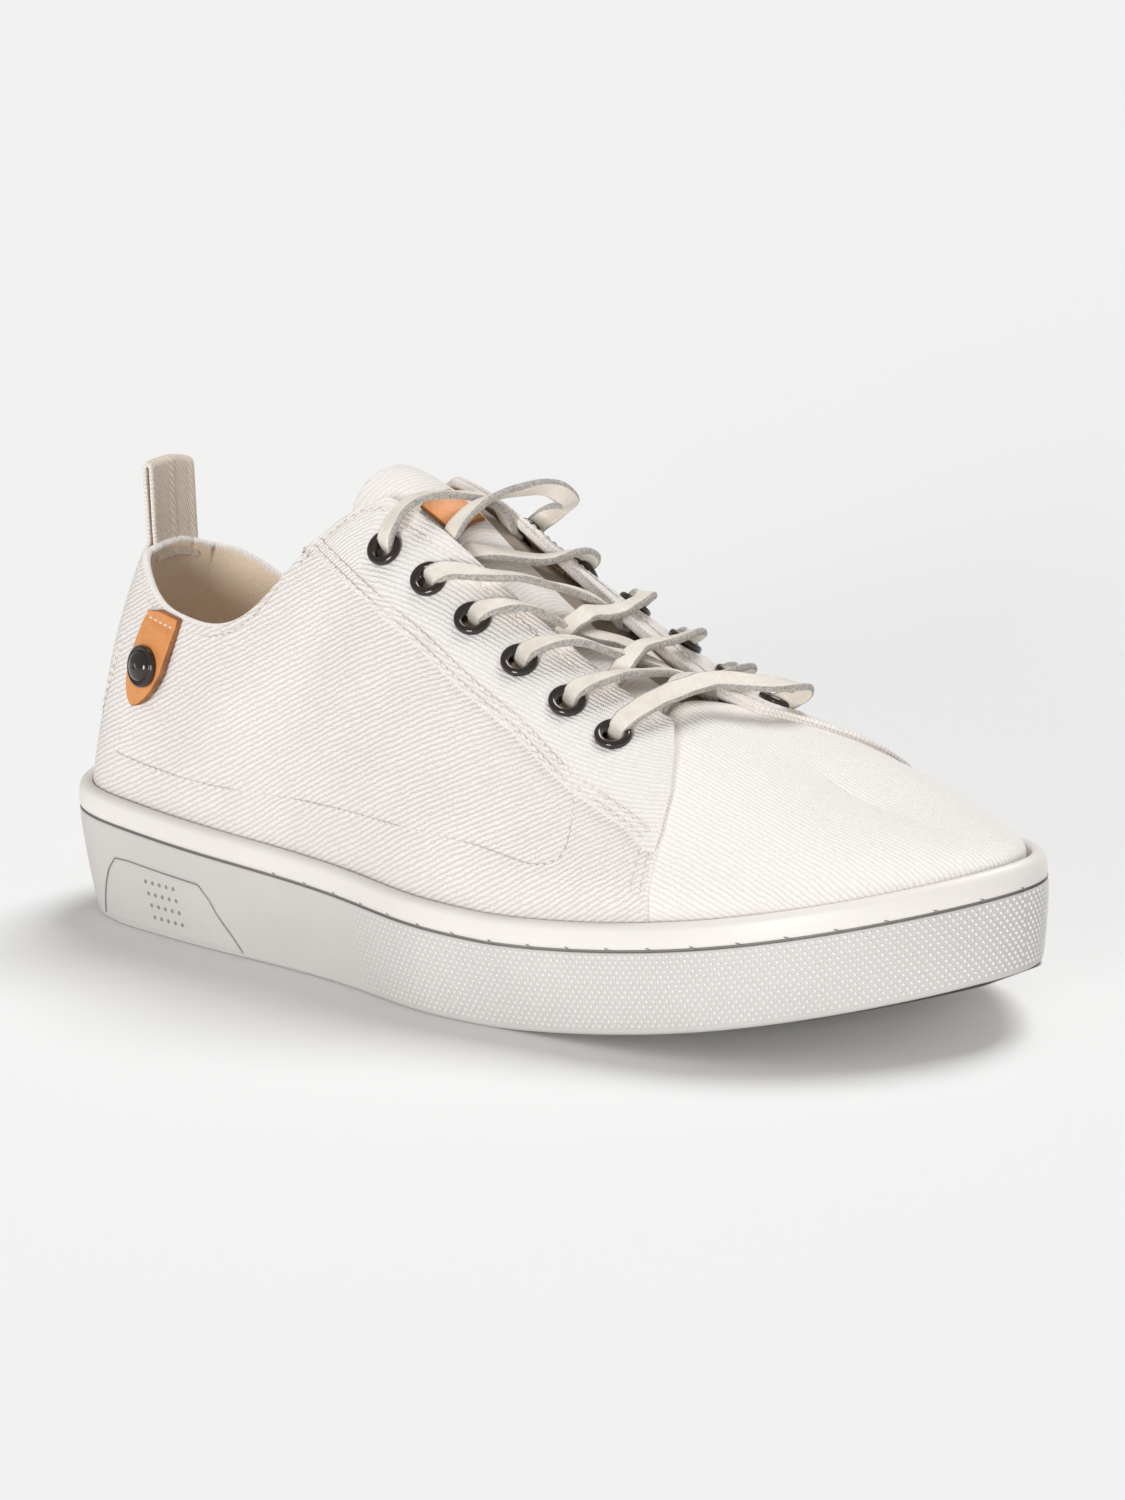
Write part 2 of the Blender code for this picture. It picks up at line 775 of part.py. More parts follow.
def tongue_half_width(station):
    """Half the tongue's width along the surface, rounded at its top corners."""
    part = (station - TONGUE_TOP) / (TONGUE_END - TONGUE_TOP)
    half = TONGUE_HALF_TOP + (TONGUE_HALF_END - TONGUE_HALF_TOP) * part
    from_top = np.linalg.norm(ridge(station) - ridge(TONGUE_TOP))
    missing = max(0.0, 1 - from_top / TONGUE_CORNER)
    return half - TONGUE_CORNER * (1 - (1 - missing**2) ** 0.5)


def build_tongue(canvas):
    """The tongue, a padded sheet that lies close under the facings."""
    stations = [TONGUE_TOP, TONGUE_TOP + 0.08, TONGUE_TOP + 0.2]
    stations += [s * STATION_STEP for s in range(14, 27)] + [TONGUE_END]
    spread = [-1.0, -0.75, -0.5, -0.25, 0.0, 0.25, 0.5, 0.75, 1.0]
    faces = []
    for depth in (TONGUE_DEPTH, TONGUE_DEPTH + TONGUE_THICKNESS):
        faces.append([
            [near_ridge(s, part * tongue_half_width(s), depth) for part in spread] for s in stations
        ])
    sheet_solid("tongue", *faces, canvas)


def build_label(leather):
    """A bare leather label on the top of the tongue."""
    start = TONGUE_TOP + 0.78
    per_station = np.linalg.norm(ridge(start + 1) - ridge(start))
    stations = [start + part * LABEL_LENGTH / per_station for part in (0, 0.33, 0.67, 1)]
    spread = [part * LABEL_WIDTH / 2 for part in (-1, -0.5, 0, 0.5, 1)]
    top = TONGUE_DEPTH - CLEARANCE
    faces = []
    for depth in (top - LABEL_THICKNESS, top):
        faces.append([[near_ridge(s, away, depth) for away in spread] for s in stations])
    sheet_solid("tongue_label", *faces, leather)


def collar_frame(station, side):
    """The collar's edge at a station and the level direction outwards."""
    share = trim(station, side)
    out = normal(station, side, share) * np.array([1.0, 1.0, 0.0])
    return surface(station, side, share), out / np.linalg.norm(out)


def loop_path(station, side):
    """The middle line of the pull loop, up outside the heel, over and down inside."""
    share = trim(station, side)
    point, out = collar_frame(station, side)
    up = np.array([0.0, 0.0, 1.0])
    outside = LOOP_GAP + LOOP_THICKNESS / 2
    inside = WALL + LOOP_GAP + LOOP_THICKNESS / 2
    path = []
    for part in (1, 0.66, 0.33, 0):
        lower = share_from(station, side, share, -part * LOOP_DROP_OUTSIDE) if part else share
        path.append(skin(station, side, lower, -outside))
    radius = (outside + inside) / 2
    centre = point + out * (outside - radius) + up * (LOOP_RISE - radius)
    for angle in (0, 45, 90, 135, 180):
        turn = radians(angle)
        path.append(centre + out * radius * cos(turn) + up * radius * sin(turn))
    for part in (0, 0.5, 1):
        lower = share_from(station, side, share, -part * LOOP_DROP_INSIDE) if part else share
        path.append(skin(station, side, lower, inside))
    return path


def thickened(path, thickness, across):
    """The path moved to both sides, square to the direction across."""
    offsets = []
    for i, point in enumerate(path):
        run = path[min(i + 1, len(path) - 1)] - path[max(i - 1, 0)]
        away = np.cross(run, across)
        offsets.append(away / np.linalg.norm(away) * thickness / 2)
    return [p + o for p, o in zip(path, offsets)], [p - o for p, o in zip(path, offsets)]


def build_pull_loop(webbing):
    """A folded band of webbing that straddles the back of the collar."""
    half_station = np.linalg.norm(surface(0.5, -1, trim(0.5, -1)) - surface(0, -1, trim(0, -1)))
    outer, inner = [], []
    for part in (-1, -0.5, 0, 0.5, 1):
        away = part * LOOP_WIDTH / 2
        side = -1 if away < 0 else 1
        station = 0.5 * abs(away) / half_station
        path = loop_path(station, side)
        out = collar_frame(station, side)[1]
        across = np.array([out[1], -out[0], 0.0])
        one, other = thickened(path, LOOP_THICKNESS, across)
        outer.append(one)
        inner.append(other)
    sheet_solid("pull_loop", outer, inner, webbing)


def tab_point(across, down, depth):
    """A point of the tab, from its middle at the collar."""
    point = surface(TAB_STATION, -1, trim(TAB_STATION, -1))
    following = surface(TAB_STATION + 0.5, -1, trim(TAB_STATION + 0.5, -1))
    per_station = 2 * np.linalg.norm(following - point)
    station = TAB_STATION + (across * cos(TAB_SLANT) - down * sin(TAB_SLANT)) / per_station
    lower = down * cos(TAB_SLANT) + across * sin(TAB_SLANT)
    share = share_from(station, -1, trim(TAB_STATION, -1), -lower)
    return station, share, skin(station, -1, share, depth)


def build_tab(leather, metal):
    """The pointed leather tab on the outer side of the collar, and its stud."""
    rows = [(0.03, 0.92), (0.2, 0.98), (0.4, 1.0), (0.6, 0.98), (0.76, 0.8), (0.9, 0.5), (1.0, 0.16)]
    faces = []
    for depth in (-CLEARANCE - TAB_THICKNESS, -CLEARANCE):
        faces.append([
            [tab_point(part * wide * TAB_WIDTH / 2, down * TAB_LENGTH, depth)[2]
             for part in (-1, -0.5, 0, 0.5, 1)]
            for down, wide in rows
        ])
    sheet_solid("collar_tab", *faces, leather)
    depth = -2 * CLEARANCE - TAB_THICKNESS
    station, share, point = tab_point(0.0, STUD_PLACE, depth)
    profile = [
        (0.0002, 0),
        (STUD_RADIUS, 0),
        (STUD_RADIUS, 0.25 * STUD_HEIGHT),
        (0.82 * STUD_RADIUS, 0.42 * STUD_HEIGHT),
        (0.74 * STUD_RADIUS, 0.36 * STUD_HEIGHT),
        (0.5 * STUD_RADIUS, 0.82 * STUD_HEIGHT),
        (0.0002, STUD_HEIGHT),
    ]
    matrix = placed(point, normal(station, -1, share))
    turned("tab_stud", profile, 16, matrix, metal)


def strand_path(strand):
    """The middle line of a strand with the surface's direction at each point."""
    side, end_side = strand["from_side"], strand["to_side"]
    first, last = strand["from_row"], strand["to_row"]
    rest = EYESTAY_RISE + CLEARANCE + LACE_THICKNESS / 2
    start_station, end_station = row_station(first, side), row_station(last, end_side)
    start = side * share_length(start_station, side, eyelet_share(first, side))
    if strand["dive"]:
        edge = share_length(end_station, end_side, trim(end_station, end_side))
        end = end_side * (edge - LACE_WIDTH * 0.75)
        low = CLEARANCE + LACE_THICKNESS / 2 - TONGUE_DEPTH * strand["dive"]
    else:
        end = end_side * share_length(end_station, end_side, eyelet_share(last, end_side))
        low = rest
    between = np.linalg.norm(ridge(end_station) - ridge(start_station))
    clear = (EYELET_RADIUS + 4 * CLEARANCE) / hypot(end - start, between)
    stop = 1.0 if strand["dive"] else 1.0 - clear
    path = []
    for i in range(STRAND_STEPS + 1):
        part = i / STRAND_STEPS
        place = clear + (stop - clear) * part
        station = start_station + (end_station - start_station) * place
        away = start + (end - start) * place
        above = rest + (low - rest) * part**2
        above += strand["arch"] * LACE_THICKNESS * sin(pi * part) ** 0.8
        which = -1 if away < 0 else 1
        share = share_from(station, which, 1.0, -abs(away))
        path.append((skin(station, which, share, -above), normal(station, which, share)))
    return path


def share_length(station, side, share):
    """Length of a section from a share to the ridge."""
    points = section(station, side)
    spots = [on_curve(points, share + (1 - share) * i / 30) for i in range(31)]
    return sum(np.linalg.norm(b - a) for a, b in zip(spots, spots[1:]))


def flat_band(name, path, made_of):
    """A flat strip swept along a path that lies on a surface."""
    grid = []
    for i, (point, out) in enumerate(path):
        run = path[min(i + 1, len(path) - 1)][0] - path[max(i - 1, 0)][0]
        across = np.cross(run, out)
        across *= LACE_WIDTH / 2 / np.linalg.norm(across)
        away = np.cross(across, run)
        away *= LACE_THICKNESS / 2 / np.linalg.norm(away)
        grid.append([point + across + away, point - across + away,
                     point - across - away, point + across - away])
    return joined_grid(name, grid, made_of)


def build_laces(leather):
    """The lace's strands over the throat, joined where they cross."""
    strands = [dict(zip(STRAND_COLUMNS.split(), row)) for row in STRANDS]
    pieces = {}
    for number, strand in enumerate(strands):
        name = f"lace_{strand['piece']}"
        path = strand_path(strand)
        if name in pieces:
            cut(pieces[name], flat_band(f"strand_{number}", path, leather), "UNION")
        else:
            pieces[name] = flat_band(name, path, leather)


def main():
    for item in list(bpy.data.objects):
        bpy.data.objects.remove(item)
    canvas = material("canvas_white", (0.86, 0.83, 0.79), 0.9)
    lining = material("canvas_lining", (0.68, 0.60, 0.49), 0.9)
    rubber = material("rubber_white", (0.80, 0.79, 0.77), 0.55)
    webbing = material("webbing_beige", (0.78, 0.71, 0.61), 0.85)
    tan = material("leather_tan", (0.75, 0.33, 0.12), 0.6)
    cream = material("leather_cream", (0.74, 0.70, 0.62), 0.65)
    metal = material("metal_black", (0.03, 0.028, 0.026), 0.25, 1.0)
    build_outsole(rubber)
    build_insole(lining)
    build_upper(canvas)
    build_tongue(canvas)
    build_label(tan)
    build_eyelets(metal)
    build_pull_loop(webbing)
    build_tab(tan, metal)
    build_laces(cream)


main()
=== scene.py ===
"""Blender looks for the canvas sneaker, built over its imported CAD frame.

Metres, in the frame's axes: +X to the toe, -Y the outer side, +Z up.  The upper
and all that lies on it come from one surface, the class Skin.  A place on it is
q, a share and a depth: q is the section's number, negative on the outer side
and 0 at the back of the heel, and share runs from the sole to the ridge line.
"""

from math import cos, exp, hypot, pi, radians, sin, sqrt
import random

import bmesh
import bpy
import numpy as np
from mathutils import Matrix, Vector
from mathutils.kdtree import KDTree


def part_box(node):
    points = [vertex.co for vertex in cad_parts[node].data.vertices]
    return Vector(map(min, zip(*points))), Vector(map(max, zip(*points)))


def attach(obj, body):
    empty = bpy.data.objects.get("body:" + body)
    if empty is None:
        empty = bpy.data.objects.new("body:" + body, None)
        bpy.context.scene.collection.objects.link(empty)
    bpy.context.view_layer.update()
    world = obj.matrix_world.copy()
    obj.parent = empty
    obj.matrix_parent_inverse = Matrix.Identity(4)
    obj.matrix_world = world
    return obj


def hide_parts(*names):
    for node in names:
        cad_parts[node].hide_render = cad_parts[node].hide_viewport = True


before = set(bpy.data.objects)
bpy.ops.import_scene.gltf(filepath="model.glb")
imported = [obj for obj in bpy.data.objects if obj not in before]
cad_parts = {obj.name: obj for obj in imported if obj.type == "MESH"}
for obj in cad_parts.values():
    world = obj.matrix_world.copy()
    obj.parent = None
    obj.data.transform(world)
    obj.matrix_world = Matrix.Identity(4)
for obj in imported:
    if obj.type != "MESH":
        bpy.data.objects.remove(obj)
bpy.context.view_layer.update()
MM = 0.001

# Driving sizes, read from the frame where it gives them
SOLE_LOW, SOLE_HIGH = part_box("outsole")
LENGTH = SOLE_HIGH[0] - SOLE_LOW[0]
BALL_WIDTH = 0.107
INSTEP_HEIGHT = 0.126
HEEL_HEIGHT = 0.095
TOE_SPRING = 0.017
SPRING_START = 0.59
SPRING_POWER = 1.45
RIM = (0.0349, 0.0294, 0.0276)
FLOOR = (0.0190, 0.0155, 0.0120)
RIM_THICKNESS = 0.0037
RIM_INSET = 0.0040
GROOVE_BELOW_RIM = 0.0066
SIDE_TAPER = 0.0018
HEEL_TAPER = 0.0022
THROAT_GAP = (0.027, 0.024)
THROAT_START = 4.0
SEAM = 26 / 3
COLLAR_FRONT = 5.0
CANVAS = 0.8 * MM

# The upper's sections from heel to toe, as in the CAD
COLUMNS = "along lateral medial spine height lean side top ridge crown"
SECTIONS = [
    (0.000, 0.000, 0.000, 0.230, 1.000, -8, 0.34, 0.68, 0.000, 0.00),
    (0.030, 0.242, 0.215, 0.230, 1.000, -8, 0.34, 0.68, 0.000, 0.00),
    (0.110, 0.334, 0.325, 0.235, 1.000, -6, 0.38, 0.66, 0.000, 0.00),
    (0.210, 0.376, 0.365, 0.262, 1.000, -2, 0.46, 0.63, 0.000, 0.00),
    (0.310, 0.403, 0.350, 0.335, 0.990, 0, 0.50, 0.60, -0.010, 0.08),
    (0.410, 0.448, 0.335, 0.415, 0.940, 0, 0.52, 0.56, -0.015, 0.20),
    (0.510, 0.512, 0.365, 0.490, 0.828, 0, 0.52, 0.52, -0.015, 0.30),
    (0.610, 0.518, 0.430, 0.570, 0.706, 0, 0.52, 0.50, -0.012, 0.30),
    (0.705, 0.503, 0.483, 0.640, 0.610, 0, 0.50, 0.48, 0.000, 0.22),
    (0.800, 0.464, 0.490, 0.694, 0.565, 0, 0.48, 0.44, 0.020, 0.18),
    (0.885, 0.365, 0.430, 0.740, 0.527, 0, 0.46, 0.40, 0.033, 0.13),
    (0.962, 0.177, 0.270, 0.772, 0.493, 0, 0.50, 0.37, 0.040, 0.05),
    (1.000, 0.065, 0.065, 0.792, 0.470, 0, 0.54, 0.36, 0.044, 0.00),
]
TOE = len(SECTIONS) - 1
COLLAR = [0.985, 0.985, 0.980, 0.940, 0.880, 0.857, 0.862, 0.940, 1.110, 1.220, 1.250]

# The inner side's collar is lower at the heel, by up to this much
INNER_DROP = 0.0040
DROP_STATIONS = (0.0, 1.0, 1.8, 3.0)

# Eyelet rows: first and last station on the outer side, and how far in from the facing
EYELETS = 6
EYELET_STATIONS = (4.86, 7.78)
EYELET_EDGES = (0.0120, 0.0145)
EYELET_RADIUS = 0.0047
EYELET_BORE = 0.0026
EYELET_HOLE = 0.0031

# The inner side's rows and seams lie nearer to the toe, by up to this many stations
INNER_SHIFT = 0.36
SHIFT_STATIONS = (2.5, 4.8, 8.7, 12.0)

# Seams as (station, share) on the outer side, and the quarter's front edge as
# (share, station); the inner side mirrors them
EYESTAY_EDGE = [
    (4.03, 0.587), (4.52, 0.540), (5.04, 0.514), (5.54, 0.512), (6.02, 0.505),
    (6.48, 0.494), (6.82, 0.482), (7.24, 0.440), (7.53, 0.416), (7.77, 0.400),
    (8.22, 0.350), (8.45, 0.285),
]
QUARTER_FRONT = [
    (0.00, 8.50), (0.12, 8.50), (0.24, 8.545), (0.36, 8.60), (0.52, 8.62),
    (0.70, 8.52), (0.83, 8.36), (1.00, 8.30),
]
LOWER_STITCH = [
    (1.67, 0.100), (2.05, 0.090), (2.96, 0.078), (4.06, 0.090), (5.25, 0.112),
    (6.20, 0.145), (6.80, 0.155), (7.20, 0.150), (7.44, 0.170), (7.58, 0.215),
    (7.61, 0.290), (7.60, 0.360), (7.56, 0.415),
]


def unit(vectors):
    """The vectors at length one."""
    return vectors / np.maximum(np.linalg.norm(vectors, axis=-1, keepdims=True), 1e-12)


def arc_lengths(line):
    """Distances walked along the first axis of a line or grid of points."""
    legs = np.linalg.norm(np.diff(line, axis=0), axis=-1)
    return np.concatenate([np.zeros((1, *legs.shape[1:])), np.cumsum(legs, axis=0)])


class Smooth:
    """A smooth curve through evenly numbered values, open or closed."""

    def __init__(self, values, closed=False):
        count = len(values)
        matrix = np.zeros((count, count))
        bends = np.zeros(count)
        for i in range(count):
            matrix[i, i] = 4.0
            if not closed and i in (0, count - 1):
                continue
            matrix[i, (i - 1) % count] = 1.0
            matrix[i, (i + 1) % count] = 1.0
            bends[i] = 6 * (values[(i + 1) % count] - 2 * values[i] + values[(i - 1) % count])
        self.values = np.array(values, float)
        self.bends = np.linalg.solve(matrix, bends)
        self.closed = closed

    def __call__(self, place):
        place = np.asarray(place, float)
        count = len(self.values)
        if self.closed:
            place = place % count
        last = count - 1 if self.closed else count - 2
        first = np.clip(place.astype(int), 0, last)
        second = (first + 1) % count
        part = place - first
        rest = 1 - part
        line = rest * self.values[first] + part * self.values[second]
        curve = (rest**3 - rest) * self.bends[first] + (part**3 - part) * self.bends[second]
        return line + curve / 6


COLUMN = {
    name: Smooth([row[i] for row in SECTIONS]) for i, name in enumerate(COLUMNS.split())
}
COLLAR_HEIGHT = Smooth(COLLAR)
_ALONG = [row[0] for row in SECTIONS]
OUTLINE_X = Smooth([(a - 0.5) * LENGTH for a in _ALONG + _ALONG[-2:0:-1]], closed=True)
OUTLINE_Y = Smooth(
    [-row[1] * BALL_WIDTH for row in SECTIONS[:-1]]
    + [row[2] * BALL_WIDTH for row in SECTIONS[:0:-1]],
    closed=True,
)


def outline(q, inset=0.0):
    """Points of the sole's outline at q, moved inward by inset."""
    place = -np.asarray(q, float)
    step = 0.01
    run_x = OUTLINE_X(place + step) - OUTLINE_X(place - step)
    run_y = OUTLINE_Y(place + step) - OUTLINE_Y(place - step)
    size = np.hypot(run_x, run_y)
    return np.stack(
        [OUTLINE_X(place) - inset * run_y / size, OUTLINE_Y(place) + inset * run_x / size], -1
    )


def lift(x):
    """How far the toe spring raises the sole at x."""
    share = (np.asarray(x) / LENGTH + 0.5 - SPRING_START) / (1 - SPRING_START)
    return TOE_SPRING * np.maximum(0.0, share) ** SPRING_POWER


def along_sole(heights, x):
    """Heights at heel, waist and toe joined by one parabola, on the toe spring."""
    heel, waist, toe = heights
    share = np.asarray(x) / LENGTH + 0.5
    level = heel * (1 - share) * (1 - 2 * share) + 4 * waist * share * (1 - share)
    return level + toe * share * (2 * share - 1) + lift(x)


class Skin:
    """The upper's outer surface and all places on it."""

    FINE = 32

    def __init__(self):
        count = TOE * self.FINE + 1
        stations = np.arange(count) / self.FINE
        self.control = np.stack([self.sections(side * stations) for side in (-1, 1)])
        slope = np.gradient(self.control[0, :, 3, 2], stations)
        run = np.gradient(self.control[0, :, 3, 0], stations)
        self.slope = np.where(np.abs(run) > 1e-4, slope / np.where(run == 0, 1, run), 0.0)
        drop = np.interp(stations, DROP_STATIONS, (0, 1, 1, 0))
        drop = INNER_DROP * drop * drop * (3 - 2 * drop)
        self.trims = np.stack([
            self.find_trim(self.control[0], stations, 0 * drop),
            self.find_trim(self.control[1], stations, drop),
        ])

    @staticmethod
    def ridge(station):
        """Points of the line over the top of the foot."""
        return np.stack([
            (COLUMN["spine"](station) - 0.5) * LENGTH,
            COLUMN["ridge"](station) * BALL_WIDTH,
            COLUMN["height"](station) * INSTEP_HEIGHT,
        ], -1)

    def sections(self, q):
        """Four control points for each section, from the rim to the ridge."""
        station = np.abs(q)
        plan = outline(q, RIM_INSET)
        foot = np.concatenate([plan, along_sole(RIM, plan[:, 0])[:, None]], -1)
        top = self.ridge(station)
        ahead = self.ridge(np.minimum(station + 0.05, TOE)) - self.ridge(np.maximum(station - 0.05, 0))
        level_run = np.abs(ahead[:, 0]) <= 1e-5
        slope = np.where(level_run, 0, ahead[:, 2] / np.where(level_run, 1, ahead[:, 0]))
        outward = foot[:, :2] - top[:, :2]
        reach = np.linalg.norm(outward, axis=1)
        outward = unit(outward)
        lean = np.radians(COLUMN["lean"](station))
        upright = COLUMN["side"](station) * (top[:, 2] - foot[:, 2])
        pull = COLUMN["top"](station) + np.where(q > 0, COLUMN["crown"](station), 0)
        level = pull * reach
        lower = foot + upright[:, None] * np.stack(
            [outward[:, 0] * np.sin(lean), outward[:, 1] * np.sin(lean), np.cos(lean)], -1)
        upper = top + level[:, None] * np.stack(
            [outward[:, 0], outward[:, 1], slope * outward[:, 0]], -1)
        return np.stack([foot, lower, upper, top], 1)

    @staticmethod
    def on_curve(points, share):
        """Points at a share of the curve that four control points give."""
        share = np.asarray(share)[..., None]
        rest = 1 - share
        return (rest**3 * points[..., 0, :] + 3 * share * rest**2 * points[..., 1, :]
                + 3 * share**2 * rest * points[..., 2, :] + share**3 * points[..., 3, :])

    def find_trim(self, control, stations, drop):
        """The share where collar or facing ends each section."""
        collar = np.where(
            stations <= COLLAR_FRONT, COLLAR_HEIGHT(np.minimum(2 * stations, 10)) * HEEL_HEIGHT, 9.0)
        collar = collar - drop
        part = np.clip((stations - THROAT_START) / (SEAM - THROAT_START), 0, 1)
        gap = (THROAT_GAP[0] + (THROAT_GAP[1] - THROAT_GAP[0]) * part) / 2
        low, high = np.zeros(len(stations)), np.ones(len(stations))
        for _ in range(30):
            middle = (low + high) / 2
            point = self.on_curve(control, middle)
            in_throat = (stations > THROAT_START) & (np.abs(point[:, 1] - control[:, 3, 1]) < gap)
            over = (point[:, 2] > collar) | in_throat
            high = np.where(over, middle, high)
            low = np.where(over, low, middle)
        return low

    def wrapped(self, q):
        """The side, the row of control points and the part of a step for each q."""
        q = (np.asarray(q, float) + TOE) % (2 * TOE) - TOE
        side = (q >= 0).astype(int)
        place = np.abs(q) * self.FINE
        first = np.minimum(place.astype(int), TOE * self.FINE - 1)
        return side, first, place - first

    def trim(self, q):
        """The share where the collar or the facing ends the section at q."""
        side, first, part = self.wrapped(q)
        return (1 - part) * self.trims[side, first] + part * self.trims[side, first + 1]

    def plain(self, q, share):
        """Points of the surface itself."""
        side, first, part = self.wrapped(q)
        part = part[..., None, None]
        control = (1 - part) * self.control[side, first] + part * self.control[side, first + 1]
        return self.on_curve(control, share)

    def normal(self, q, share):
        """The directions out of the surface, upright along the ridge."""
        q, share = np.broadcast_arrays(np.asarray(q, float), np.asarray(share, float))
        step = 0.03
        across = self.plain(q + step, share) - self.plain(q - step, share)
        up = self.plain(q, np.minimum(share + step, 1)) - self.plain(q, np.maximum(share - step, 0))
        out = unit(np.cross(up, across))
        slope = self.slope[self.wrapped(q)[1]]
        crest = unit(np.stack([-slope, np.zeros_like(slope), np.ones_like(slope)], -1))
        near = np.clip((share - 0.93) / 0.07, 0, 1)[..., None]
        near = near * near * (3 - 2 * near)
        return unit((1 - near) * out + near * crest)

    def over(self, q, share, height):
        """Points at a height over the plain surface."""
        return self.plain(q, share) + self.normal(q, share) * np.asarray(height)[..., None]

    def at(self, q, share, height=0.0):
        """Points at a height over the surface, with its soft creases."""
        q, share, height = np.broadcast_arrays(
            np.asarray(q, float), np.asarray(share, float), np.asarray(height, float))
        return self.over(q, share, height + soft_creases(q, share))

    def share_from(self, q, start, distance):
        """The share at a distance, walked down the section from a start share."""
        shares = np.linspace(start, 0, 161)
        return np.interp(distance, arc_lengths(self.plain(np.full(161, q), shares)), shares)

    def share_below(self, q, distance):
        """The share a distance below the collar or facing edge."""
        return float(self.share_from(q, float(self.trim(q)), distance))


# Soft creases of the cloth: q, share, reach along, reach up, slant and height in mm
CREASES = [
    (-2.3, 0.22, 0.55, 0.10, 0.00, -1.4),
    (-3.3, 0.26, 0.50, 0.10, 0.04, 0.9),
    (-4.3, 0.33, 0.45, 0.16, -0.10, -1.2),
    (-5.6, 0.27, 0.90, 0.08, -0.02, -0.8),
    (-7.1, 0.25, 0.50, 0.10, -0.06, -0.9),
    (-8.0, 0.16, 0.30, 0.09, 0.05, 0.8),
    (2.3, 0.24, 0.55, 0.10, 0.00, -1.4),
    (3.6, 0.30, 0.50, 0.12, 0.05, 0.9),
    (4.8, 0.36, 0.60, 0.12, -0.05, -1.4),
    (6.4, 0.30, 0.60, 0.09, -0.04, -0.9),
    (7.8, 0.22, 0.40, 0.10, 0.05, 0.8),
]


def soft_creases(q, share):
    """Height of the listed troughs and ridges at each place."""
    total = np.zeros(np.shape(q))
    for place, level, along, up, slant, height in CREASES:
        run = (q - place) / along
        rise = (share - level - slant * run) / up
        total += height * MM * np.exp(-(run**2 + rise**2))
    return total


SKIN = Skin()


def seam_station(share):
    """Station of the quarter's front edge at each share."""
    shares, stations = zip(*[(s, q) for s, q in QUARTER_FRONT])
    return np.interp(share, shares, stations)


def inner_shift(station):
    """How much nearer to the toe the inner side's match of a station lies."""
    return INNER_SHIFT * np.interp(station, SHIFT_STATIONS, (0, 1, 1, 0))


def side_q(station, side):
    """The place q on a side that matches a station of the outer side."""
    station = np.asarray(station, float)
    return -station if side < 0 else station + inner_shift(station)


def row_station(row):
    """The station of an eyelet row on the outer side, counted from 1 at the top."""
    first, last = EYELET_STATIONS
    return first + (last - first) * (row - 1) / (EYELETS - 1)


# Meshes


def put(name, data):
    """A new object with the data, put in the scene."""
    made = bpy.data.objects.new(name, data)
    bpy.context.collection.objects.link(made)
    return made


def turn_outward(mesh, weld=0.0):
    """Turns all faces outward, after joining points closer than weld."""
    work = bmesh.new()
    work.from_mesh(mesh)
    if weld:
        bmesh.ops.remove_doubles(work, verts=work.verts, dist=weld)
    bmesh.ops.recalc_face_normals(work, faces=work.faces)
    work.to_mesh(mesh)
    work.free()


def add_piece(name, points, faces, materials, slots=None, uv=None):
    """A mesh object that rides on the shoe."""
    mesh = bpy.data.meshes.new(name)
    mesh.from_pydata([tuple(map(float, p)) for p in points], [], [tuple(f) for f in faces])
    for item in materials:
        mesh.materials.append(item)
    if slots is not None:
        mesh.polygons.foreach_set("material_index", np.array(slots, dtype=np.int32))
    if uv is not None:
        layer = mesh.uv_layers.new(name="cloth")
        corners = np.zeros(len(mesh.loops), dtype=np.int32)
        mesh.loops.foreach_get("vertex_index", corners)
        layer.data.foreach_set("uv", np.array(uv, dtype=np.float32)[corners].ravel())
    turn_outward(mesh)
    mesh.shade_smooth()
    mesh.update()
    piece = put(name, mesh)
    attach(piece, "root")
    return piece


def grid_faces(rows, cols, first=0, wrap=False):
    """Faces of a grid of points, closed round its columns where wrap is set."""
    faces = []
    for r in range(rows - 1):
        for c in range(cols if wrap else cols - 1):
            d = (c + 1) % cols
            faces.append((first + r * cols + c, first + r * cols + d,
                          first + (r + 1) * cols + d, first + (r + 1) * cols + c))
    return faces


